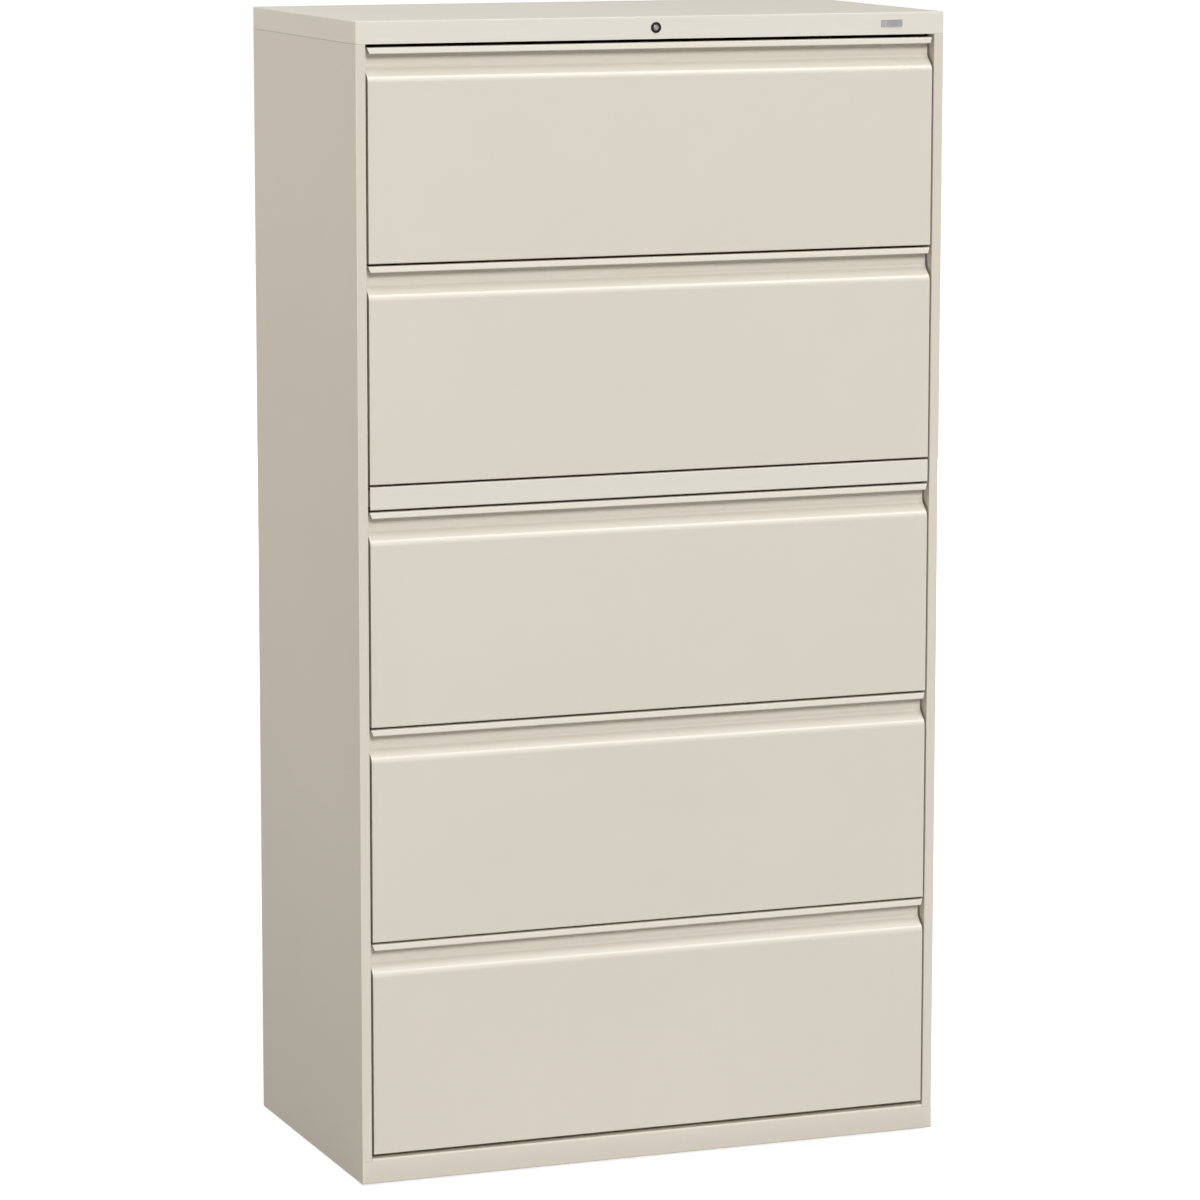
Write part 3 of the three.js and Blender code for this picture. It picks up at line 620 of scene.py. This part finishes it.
class LATERAL_OT_base_rail(bpy.types.Operator):
    """Folds the rail under the lowest front, notched for the stiles"""
    bl_idname = "lateral_file.base_rail"
    bl_label = "Base Rail"

    def execute(self, context):
        case = context.scene.lateral_case
        low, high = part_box("base_front_rail")
        notch = high.z - case.rail_notch
        opening = HALF_WIDTH - case.stile_width - case.seam
        inner = HALF_WIDTH - case.sheet - case.seam
        behind = low.y + case.sheet + case.seam / 2
        mesh = bmesh.new()
        folded_sheet(mesh, [
            (high.y, low.z, 0.0),
            (low.y, low.z, case.fold),
            (low.y, high.z, case.fold),
            (low.y + case.rail_top_flange, high.z, 0.0),
        ], "X", low.x, high.x, (0, -1, 0))
        for hand in (-1, 1):
            cut_plane(mesh, (hand * opening, 0, 0), (1, 0, 0))
            cut_plane(mesh, (hand * inner, 0, 0), (1, 0, 0))
        cut_plane(mesh, (0, 0, notch), (0, 0, 1))
        cut_plane(mesh, (0, behind, 0), (0, 1, 0))
        # Cuts beside the folds keep the painted edge highlight in a narrow strip
        for fold in (low.z + case.fold + case.edge_highlight_strip, high.z - case.fold - case.edge_highlight_strip):
            cut_plane(mesh, (0, 0, fold), (0, 0, 1))
        remove_faces(mesh, lambda middle: (abs(middle.x) > opening and middle.z > notch)
                     or (abs(middle.x) > inner and middle.y > behind))
        finish_piece("rail", mesh, finish_named("case_enamel"), "case", ["base_front_rail"],
                     case.sheet)
        return {"FINISHED"}


class LATERAL_OT_posting_shelf(bpy.types.Operator):
    """Makes the posting shelf: a shallow pan behind a folded front edge"""
    bl_idname = "lateral_file.posting_shelf"
    bl_label = "Posting Shelf"

    def execute(self, context):
        case = context.scene.lateral_case
        pull = context.scene.lateral_pull
        low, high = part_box("posting_shelf")
        mesh = bmesh.new()
        pan_low = low.z + case.shelf_rise
        solid_block(mesh, (low.x, low.y + case.sheet, pan_low), (high.x, high.y, pan_low + case.shelf_pan))
        remove_faces(mesh, lambda middle: middle.z < pan_low + 1e-6)
        soften_edges(mesh, [edge for edge in mesh.edges if not edge.is_boundary], case.fold / 2, 3)
        folded_sheet(mesh, [
            (low.y + case.shelf_return, low.z, 0.0),
            (low.y, low.z, pull.fold),
            (low.y, high.z, pull.fold),
            (low.y + case.shelf_return, high.z, 0.0),
        ], "X", low.x, high.x, (0, -1, 0))
        finish_piece("shelf", mesh, finish_named("shelf_enamel"), "posting_shelf",
                     ["posting_shelf"], case.sheet)
        return {"FINISHED"}


class LATERAL_OT_back_panel(bpy.types.Operator):
    """Folds the back panel with a forward flange down each side"""
    bl_idname = "lateral_file.back_panel"
    bl_label = "Back Panel"

    def execute(self, context):
        case = context.scene.lateral_case
        low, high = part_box("back_panel")
        pan_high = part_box("base_pan")[1]
        over_pan = pan_high.z + case.seam
        behind_pan = pan_high.y + case.seam
        mesh = bmesh.new()
        folded_sheet(mesh, [
            (low.x, low.y, 0.0),
            (low.x, high.y, case.fold),
            (high.x, high.y, case.fold),
            (high.x, low.y, 0.0),
        ], "Z", low.z, high.z, (0, 1, 0))
        cut_plane(mesh, (0, 0, over_pan), (0, 0, 1))
        cut_plane(mesh, (0, behind_pan, 0), (0, 1, 0))
        remove_faces(mesh, lambda middle: middle.z < over_pan and middle.y < behind_pan)
        finish_piece("back", mesh, finish_named("case_enamel"), "case", ["back_panel"], case.sheet)
        return {"FINISHED"}


class LATERAL_OT_drawer_boxes(bpy.types.Operator):
    """Folds the five drawer boxes with their hems, beads, slide members and lock catches"""
    bl_idname = "lateral_file.drawer_boxes"
    bl_label = "Drawer Boxes"

    def execute(self, context):
        for number in DRAWERS:
            self.fold_box(context.scene.lateral_box, number)
        return {"FINISHED"}

    def fold_box(self, box, number):
        low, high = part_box(f"drawer_box_{number}")
        slide_low, slide_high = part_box(f"slide_middle_member_right_{number}")
        half = slide_low.x - box.side_gap
        rear = slide_high.y - box.rear_gap
        mesh = bmesh.new()
        self.add_tray(mesh, box, half, low, high, rear)
        for wall, inwards in ((low.y, 1), (rear, -1)):
            self.add_end_wall(mesh, box, half, low, high, wall, inwards)
        self.add_beads(mesh, box, half, low, rear)
        finish_piece(f"box_{number}", mesh, finish_named("inside_enamel"), f"drawer_{number}",
                     [f"drawer_box_{number}"], box.sheet)
        middle = (slide_low.z + slide_high.z) / 2
        for side, hand in HANDS:
            self.add_member(box, number, side, hand, half, middle, slide_low.y, slide_high.y)
        self.add_catch(box, number, half, high.x)

    def add_tray(self, mesh, box, half, low, high, rear):
        """Floor and side walls of one sheet, with a hem turned inwards along each wall."""
        inner = half - box.hem
        hem_end = high.z - box.hem_height
        round_hem = box.hem * 0.49
        folded_sheet(mesh, [
            (-inner, hem_end, 0.0),
            (-inner, high.z, round_hem),
            (-half, high.z, round_hem),
            (-half, low.z, box.fold),
            (half, low.z, box.fold),
            (half, high.z, round_hem),
            (inner, high.z, round_hem),
            (inner, hem_end, 0.0),
        ], "Y", low.y, rear, (0, 0, -1))

    def add_end_wall(self, mesh, box, half, low, high, wall, inwards):
        """An end wall with a flange on the floor and a hem along its top."""
        end = half - box.hem - box.sheet
        floor = low.z + box.sheet
        round_hem = box.hem * 0.49
        folded_sheet(mesh, [
            (wall + inwards * box.foot, floor, 0.0),
            (wall, floor, box.fold),
            (wall, high.z, round_hem),
            (wall + inwards * box.hem, high.z, round_hem),
            (wall + inwards * box.hem, high.z - box.hem_height, 0.0),
        ], "X", -end, end, (0, -inwards, 0))

    def add_beads(self, mesh, box, half, low, rear):
        """Raised beads across the floor that stiffen it."""
        floor = low.z + box.sheet
        count = int(half / box.bead_spacing)
        for step in range(-count, count + 1):
            middle = step * box.bead_spacing
            folded_sheet(mesh, [
                (middle - box.bead_width / 2, floor, 0.0),
                (middle - box.bead_width / 4, floor + box.bead_height, box.bead_height),
                (middle + box.bead_width / 4, floor + box.bead_height, box.bead_height),
                (middle + box.bead_width / 2, floor, 0.0),
            ], "Y", low.y + box.foot, rear - box.foot, (0, 0, 1))

    def add_member(self, box, number, side, hand, half, middle, front, rear):
        """The slide member on one side of the box: a channel that opens outwards."""
        tip = half + box.member_reach
        low, high = middle - box.member_height / 2, middle + box.member_height / 2
        mesh = bmesh.new()
        folded_sheet(mesh, [
            (hand * tip, low, 0.0),
            (hand * half, low, box.fold),
            (hand * half, high, box.fold),
            (hand * tip, high, 0.0),
        ], "Y", front, rear, (-hand, 0, 0))
        finish_piece(f"box_slide_{side}_{number}", mesh, finish_named("zinc_plate"), f"drawer_{number}",
                     thickness=box.member_sheet)

    def add_catch(self, box, number, half, reach):
        """The catch that the lock bar holds: an angle on the right wall."""
        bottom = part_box(f"drawer_front_{number}")[0].z + box.catch_rise
        front = FRONT_Y + box.catch_setback
        mesh = bmesh.new()
        folded_sheet(mesh, [
            (reach, front, 0.0),
            (half, front, box.fold),
            (half, front + box.foot, 0.0),
        ], "Z", bottom, bottom + box.catch_height, (0, -1, 0))
        finish_piece(f"lock_catch_{number}", mesh, finish_named("zinc_plate"), f"drawer_{number}",
                     thickness=box.catch_sheet)


class LATERAL_OT_lock(bpy.types.Operator):
    """Turns the lock's housing and plug and cuts the keyway"""
    bl_idname = "lateral_file.lock"
    bl_label = "Lock"

    def execute(self, context):
        fittings = context.scene.lateral_fittings
        self.turn_housing(fittings)
        self.turn_plug(fittings)
        return {"FINISHED"}

    def turn_housing(self, fittings):
        low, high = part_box("lock_housing")
        middle = (low.z + high.z) / 2
        collar = high.x
        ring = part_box("lock_plug")[1].x + fittings.ring_width
        bore = fittings.plug_radius + fittings.plug_gap
        edge = fittings.soft_edge * 2
        behind_cap = FRONT_Y + fittings.cap_sheet
        outline = [
            (bore, high.y), (bore, low.y + edge), (bore + edge, low.y), (ring - edge, low.y), (ring, low.y + edge),
            (ring, behind_cap), (collar, behind_cap), (collar, behind_cap + fittings.collar_length),
            (ring, behind_cap + fittings.collar_length), (ring, high.y), (bore, high.y),
        ]
        mesh = bmesh.new()
        turn_on_lock_axis(mesh, outline, middle)
        finish_piece("lock_ring", mesh, finish_named("dark_oxide"), "case", ["lock_housing"])

    def turn_plug(self, fittings):
        low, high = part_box("lock_plug")
        middle = (low.z + high.z) / 2
        stand = Matrix.Translation((0, low.y, middle)) @ Matrix.Rotation(math.pi / 2, 4, "X")
        mesh = bmesh.new()
        rim = bmesh.ops.create_circle(mesh, segments=48, radius=fittings.plug_radius, matrix=stand)["verts"]
        slot = bmesh.ops.create_circle(mesh, segments=16, radius=fittings.key_width / 2, matrix=stand)["verts"]
        stretch = (fittings.key_height - fittings.key_width) / 2
        upper = [vert for vert in slot if vert.co.z > middle + 1e-7]
        lower = [vert for vert in slot if vert.co.z < middle - 1e-7]
        bmesh.ops.translate(mesh, verts=upper, vec=(0, 0, stretch))
        bmesh.ops.translate(mesh, verts=lower, vec=(0, 0, -stretch))
        loops = {key: [edge for edge in mesh.edges if edge.verts[0] in verts]
                 for key, verts in (("rim", set(rim)), ("slot", set(slot)))}
        bmesh.ops.triangle_fill(mesh, edges=mesh.edges[:], use_beauty=True, use_dissolve=False)
        for key, depth in (("rim", high.y - low.y), ("slot", fittings.key_depth)):
            grown = bmesh.ops.extrude_edge_only(mesh, edges=loops[key])["geom"]
            far = [item for item in grown if isinstance(item, bmesh.types.BMVert)]
            bmesh.ops.translate(mesh, verts=far, vec=(0, depth, 0))
            bmesh.ops.edgeloop_fill(mesh, edges=[edge for edge in mesh.edges if set(edge.verts) <= set(far)])
        bmesh.ops.recalc_face_normals(mesh, faces=mesh.faces[:])
        soften_edges(mesh, loops["rim"], fittings.soft_edge, 2)
        finish_piece("lock_barrel", mesh, finish_named("nickel_plate"), "lock_plug", ["lock_plug"])


def turn_on_lock_axis(mesh, outline, middle):
    """Turns an outline of (radius, y) points once round the axis of the lock."""
    line = [mesh.verts.new((radius, y, middle)) for radius, y in outline]
    edges = [mesh.edges.new(pair) for pair in zip(line, line[1:])]
    bmesh.ops.spin(mesh, geom=line + edges, axis=(0, 1, 0), cent=(0, 0, middle), dvec=(0, 0, 0),
                   angle=2 * math.pi, steps=48, use_merge=True, use_normal_flip=False, use_duplicate=False)
    bmesh.ops.remove_doubles(mesh, verts=mesh.verts[:], dist=1e-6)
    bmesh.ops.recalc_face_normals(mesh, faces=mesh.faces[:])


class LATERAL_OT_badge(bpy.types.Operator):
    """Sets a bare plate at the right of the cap"""
    bl_idname = "lateral_file.badge"
    bl_label = "Bare Plate"

    def execute(self, context):
        fittings = context.scene.lateral_fittings
        low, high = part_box("lock_housing")
        middle = (low.z + high.z) / 2
        half_width, half_height = fittings.badge_width / 2, fittings.badge_height / 2
        mesh = bmesh.new()
        solid_block(mesh, (fittings.badge_x - half_width, FRONT_Y - fittings.badge_thickness, middle - half_height),
                    (fittings.badge_x + half_width, FRONT_Y + fittings.badge_thickness, middle + half_height))
        corners = [edge for edge in mesh.edges if abs(edge.verts[0].co.y - edge.verts[1].co.y) > 1e-5]
        soften_edges(mesh, corners, fittings.badge_corner, 4)
        face = [face for face in mesh.faces if face.normal.y < -0.9]
        bmesh.ops.inset_region(mesh, faces=face, thickness=fittings.soft_edge * 2, depth=0.0)
        bmesh.ops.inset_region(mesh, faces=face, thickness=fittings.soft_edge, depth=-fittings.soft_edge)
        finish_piece("badge_plate", mesh, finish_named("brushed_plate"), "case", sharp_degrees=25)
        return {"FINISHED"}


class LATERAL_OT_glides(bpy.types.Operator):
    """Turns the four levelling glides with their screws and sets the front weld nuts"""
    bl_idname = "lateral_file.glides"
    bl_label = "Levelling Glides"

    def execute(self, context):
        fittings = context.scene.lateral_fittings
        for end in ENDS:
            for side, _ in HANDS:
                self.turn_glide(fittings, f"levelling_glide_{end}_{side}")
        for side, _ in HANDS:
            self.set_nut(fittings, side)
        return {"FINISHED"}

    def turn_glide(self, fittings, node):
        low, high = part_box(node)
        middle = (low + high) / 2
        disc = (high.x - low.x) / 2
        top = fittings.glide_thickness
        edge = top / 3
        foot = [(0.0, 0.0), (disc - edge, 0.0), (disc, edge), (disc, top - edge), (disc - edge, top),
                (fittings.glide_stem, top), (fittings.glide_stem, top)]
        self.turn(node, foot[:-1] + [(0.0, top)], middle, 40, "moulded_nylon", "glide_nylon", f"{node}_foot", [node])
        threads = int((high.z - top) / fittings.thread_pitch)
        screw = [(0.0, top)]
        for turn in range(threads):
            start = top + turn * fittings.thread_pitch
            screw.append((fittings.glide_stem - fittings.thread_depth, start))
            screw.append((fittings.glide_stem, start + fittings.thread_pitch / 2))
        screw.append((fittings.glide_stem - fittings.thread_depth, high.z))
        screw.append((0.0, high.z))
        self.turn(node, screw, middle, 24, "zinc_plate", "zinc_plate", f"{node}_stem", [])

    def turn(self, body, outline, middle, steps, finish, slot, name, stands_for):
        """Turns an outline of (radius, height) points once round an upright axis."""
        mesh = bmesh.new()
        line = [mesh.verts.new((middle.x + radius, middle.y, height)) for radius, height in outline]
        edges = [mesh.edges.new(pair) for pair in zip(line, line[1:])]
        bmesh.ops.spin(mesh, geom=line + edges, axis=(0, 0, 1), cent=(middle.x, middle.y, 0), dvec=(0, 0, 0),
                       angle=2 * math.pi, steps=steps, use_merge=True, use_normal_flip=False, use_duplicate=False)
        bmesh.ops.remove_doubles(mesh, verts=mesh.verts[:], dist=1e-6)
        bmesh.ops.recalc_face_normals(mesh, faces=mesh.faces[:])
        finish_piece(name, mesh, finish_named(finish), body, stands_for)

    def set_nut(self, fittings, side):
        low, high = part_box(f"levelling_glide_front_{side}")
        middle = (low + high) / 2
        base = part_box("base_front_rail")[0].z + fittings.cap_sheet
        stand = Matrix.Translation((middle.x, middle.y, base + fittings.nut_height / 2))
        mesh = bmesh.new()
        bmesh.ops.create_cone(mesh, cap_ends=True, segments=6, radius1=fittings.nut_radius,
                              radius2=fittings.nut_radius, depth=fittings.nut_height, matrix=stand)
        soften_edges(mesh, mesh.edges[:], fittings.soft_edge, 2)
        finish_piece(f"weld_nut_{side}", mesh, finish_named("zinc_plate"), "case")


class LATERAL_OT_fittings(bpy.types.Operator):
    """Rounds the cut edges of uprights, slides, rails and lock parts and gives them their plating"""
    bl_idname = "lateral_file.fittings"
    bl_label = "Slides and Fittings"

    def execute(self, context):
        width = context.scene.lateral_fittings.soft_edge
        slots = {part["node"]: part["material_slot"] for part in frame["record"]["subparts"]}
        finishes = {"zinc_plate": "zinc_plate", "dark_steel": "dark_oxide", "case_paint": "case_enamel"}
        for node, solid in frame["nodes"].items():
            if not solid.hide_render:
                mesh = self.soften_copy(solid, width)
                finish_piece(f"{node}_finished", mesh, finish_named(finishes[slots[node]]), body_of(solid)[0],
                             [node])
        return {"FINISHED"}

    def soften_copy(self, solid, width):
        """A copy of a solid with its flat faces joined and its cut edges rounded."""
        mesh = bmesh.new()
        mesh.from_mesh(solid.data)
        bmesh.ops.remove_doubles(mesh, verts=mesh.verts[:], dist=1e-6)
        bmesh.ops.dissolve_limit(mesh, angle_limit=math.radians(1), verts=mesh.verts[:], edges=mesh.edges[:])
        sharp = [edge for edge in mesh.edges if edge.is_manifold and edge.calc_face_angle() > math.radians(35)]
        soften_edges(mesh, sharp, width, 2)
        return mesh


class LATERAL_OT_stage(bpy.types.Operator):
    """Sets the floor, the soft light and the camera"""
    bl_idname = "lateral_file.stage"
    bl_label = "Stage"

    def execute(self, context):
        studio = context.scene.lateral_studio
        context.scene.view_settings.view_transform = "Standard"
        self.lay_floor(context, studio)
        self.light_world(context, studio)
        for lamp in LAMPS:
            self.hang_lamp(context, studio, lamp)
        self.stand_camera(context, studio)
        return {"FINISHED"}

    def lay_floor(self, context, studio):
        mesh = bmesh.new()
        bmesh.ops.create_grid(mesh, x_segments=1, y_segments=1, size=studio.floor_size)
        data = bpy.data.meshes.new("floor")
        mesh.to_mesh(data)
        mesh.free()
        data.materials.append(self.floor_finish(context.scene.lateral_colours.floor, studio))
        floor = bpy.data.objects.new("floor", data)
        context.scene.collection.objects.link(floor)

    def floor_finish(self, shade, studio):
        """A pale floor that looks white to the camera and keeps the file's shadow."""
        material, tree, shader = start_finish("studio_floor")
        shader.inputs["Base Color"].default_value = (*shade, 1.0)
        shader.inputs["Roughness"].default_value = 0.9
        shader.inputs["Specular IOR Level"].default_value = 0.0
        shader.inputs["Emission Color"].default_value = (1.0, 1.0, 1.0, 1.0)
        away = add_node(tree, "ShaderNodeVectorMath", operation="LENGTH")
        tree.links.new(object_place(tree), away.inputs["Vector"])
        white = spread(tree, away.outputs["Value"], studio.floor_near, 1.0, studio.fade_start, studio.fade_end)
        shown = add_node(tree, "ShaderNodeMath", operation="MULTIPLY")
        tree.links.new(seen_directly(tree, 0.0, 1.0), shown.inputs[0])
        tree.links.new(white, shown.inputs[1])
        tree.links.new(shown.outputs["Value"], shader.inputs["Emission Strength"])
        return material

    def light_world(self, context, studio):
        world = bpy.data.worlds.new("studio_sky")
        world.use_nodes = True
        context.scene.world = world
        tree = world.node_tree
        sky = tree.nodes["Background"]
        sky.inputs["Color"].default_value = (1.0, 1.0, 1.0, 1.0)
        tree.links.new(seen_directly(tree, studio.sky, 1.0), sky.inputs["Strength"])

    def hang_lamp(self, context, studio, lamp):
        data = bpy.data.lights.new(f"{lamp}_lamp", "AREA")
        data.shape = "RECTANGLE"
        data.size = getattr(studio, f"{lamp}_size")
        data.size_y = getattr(studio, f"{lamp}_height", data.size)
        data.energy = getattr(studio, f"{lamp}_power")
        data.color = getattr(studio, f"{lamp}_tone", data.color)
        stand = bpy.data.objects.new(f"{lamp}_lamp", data)
        stand.location = getattr(studio, f"{lamp}_place")
        stand.rotation_euler = (studio.lamp_aim - stand.location).to_track_quat("-Z", "Y").to_euler()
        context.scene.collection.objects.link(stand)

    def stand_camera(self, context, studio):
        data = bpy.data.cameras.new("photo_camera")
        data.sensor_fit = "HORIZONTAL"
        data.lens = studio.focal_pixels / studio.picture_pixels * data.sensor_width
        data.clip_end = 200.0
        camera = bpy.data.objects.new("photo_camera", data)
        upright = Matrix.Rotation(math.pi / 2 + studio.camera_pitch, 4, "X")
        turned = Matrix.Rotation(-studio.camera_yaw, 4, "Z") @ upright
        rolled = turned @ Matrix.Rotation(studio.camera_roll, 4, "Z")
        camera.matrix_world = Matrix.Translation(studio.camera_place) @ rolled
        context.scene.collection.objects.link(camera)
        context.scene.camera = camera


def seen_directly(tree, otherwise, seen):
    """One strength for what the camera, mirrors and glass see, and another for the light itself."""
    path = add_node(tree, "ShaderNodeLightPath")
    direct = path.outputs["Is Camera Ray"]
    for ray in ("Is Glossy Ray", "Is Transmission Ray"):
        either = add_node(tree, "ShaderNodeMath", operation="MAXIMUM")
        tree.links.new(direct, either.inputs[0])
        tree.links.new(path.outputs[ray], either.inputs[1])
        direct = either.outputs["Value"]
    chosen = add_node(tree, "ShaderNodeMapRange", {"To Min": otherwise, "To Max": seen})
    tree.links.new(direct, chosen.inputs["Value"])
    return chosen.outputs["Result"]


class LATERAL_PT_pieces(bpy.types.Panel):
    """Lists the steps that dress the lateral file"""
    bl_idname = "LATERAL_PT_pieces"
    bl_label = "Lateral File"
    bl_space_type = "VIEW_3D"
    bl_region_type = "UI"
    bl_category = "Lateral File"

    def draw(self, context):
        for operator in OPERATORS:
            self.layout.operator(operator.bl_idname)


OPERATORS = (
    LATERAL_OT_drawer_fronts,
    LATERAL_OT_case_sides,
    LATERAL_OT_top_cap,
    LATERAL_OT_base_rail,
    LATERAL_OT_posting_shelf,
    LATERAL_OT_back_panel,
    LATERAL_OT_drawer_boxes,
    LATERAL_OT_lock,
    LATERAL_OT_badge,
    LATERAL_OT_glides,
    LATERAL_OT_fittings,
    LATERAL_OT_stage,
)
SETTINGS = {
    "lateral_pull": PullSizes,
    "lateral_case": CaseSizes,
    "lateral_fittings": FittingSizes,
    "lateral_box": BoxSizes,
    "lateral_colours": FinishColours,
    "lateral_studio": StudioSetup,
}


def register():
    for group in SETTINGS.values():
        bpy.utils.register_class(group)
    for name, group in SETTINGS.items():
        setattr(bpy.types.Scene, name, PointerProperty(type=group))
    for operator in OPERATORS:
        bpy.utils.register_class(operator)
    bpy.utils.register_class(LATERAL_PT_pieces)


def unregister():
    bpy.utils.unregister_class(LATERAL_PT_pieces)
    for operator in reversed(OPERATORS):
        bpy.utils.unregister_class(operator)
    for name in SETTINGS:
        delattr(bpy.types.Scene, name)
    for group in reversed(SETTINGS.values()):
        bpy.utils.unregister_class(group)


def main():
    register()
    bpy.ops.lateral_file.stage()
    bpy.ops.lateral_file.drawer_fronts()
    bpy.ops.lateral_file.case_sides()
    bpy.ops.lateral_file.top_cap()
    bpy.ops.lateral_file.base_rail()
    bpy.ops.lateral_file.posting_shelf()
    bpy.ops.lateral_file.back_panel()
    bpy.ops.lateral_file.drawer_boxes()
    bpy.ops.lateral_file.lock()
    bpy.ops.lateral_file.badge()
    bpy.ops.lateral_file.glides()
    bpy.ops.lateral_file.fittings()


if __name__ == "__main__":
    main()
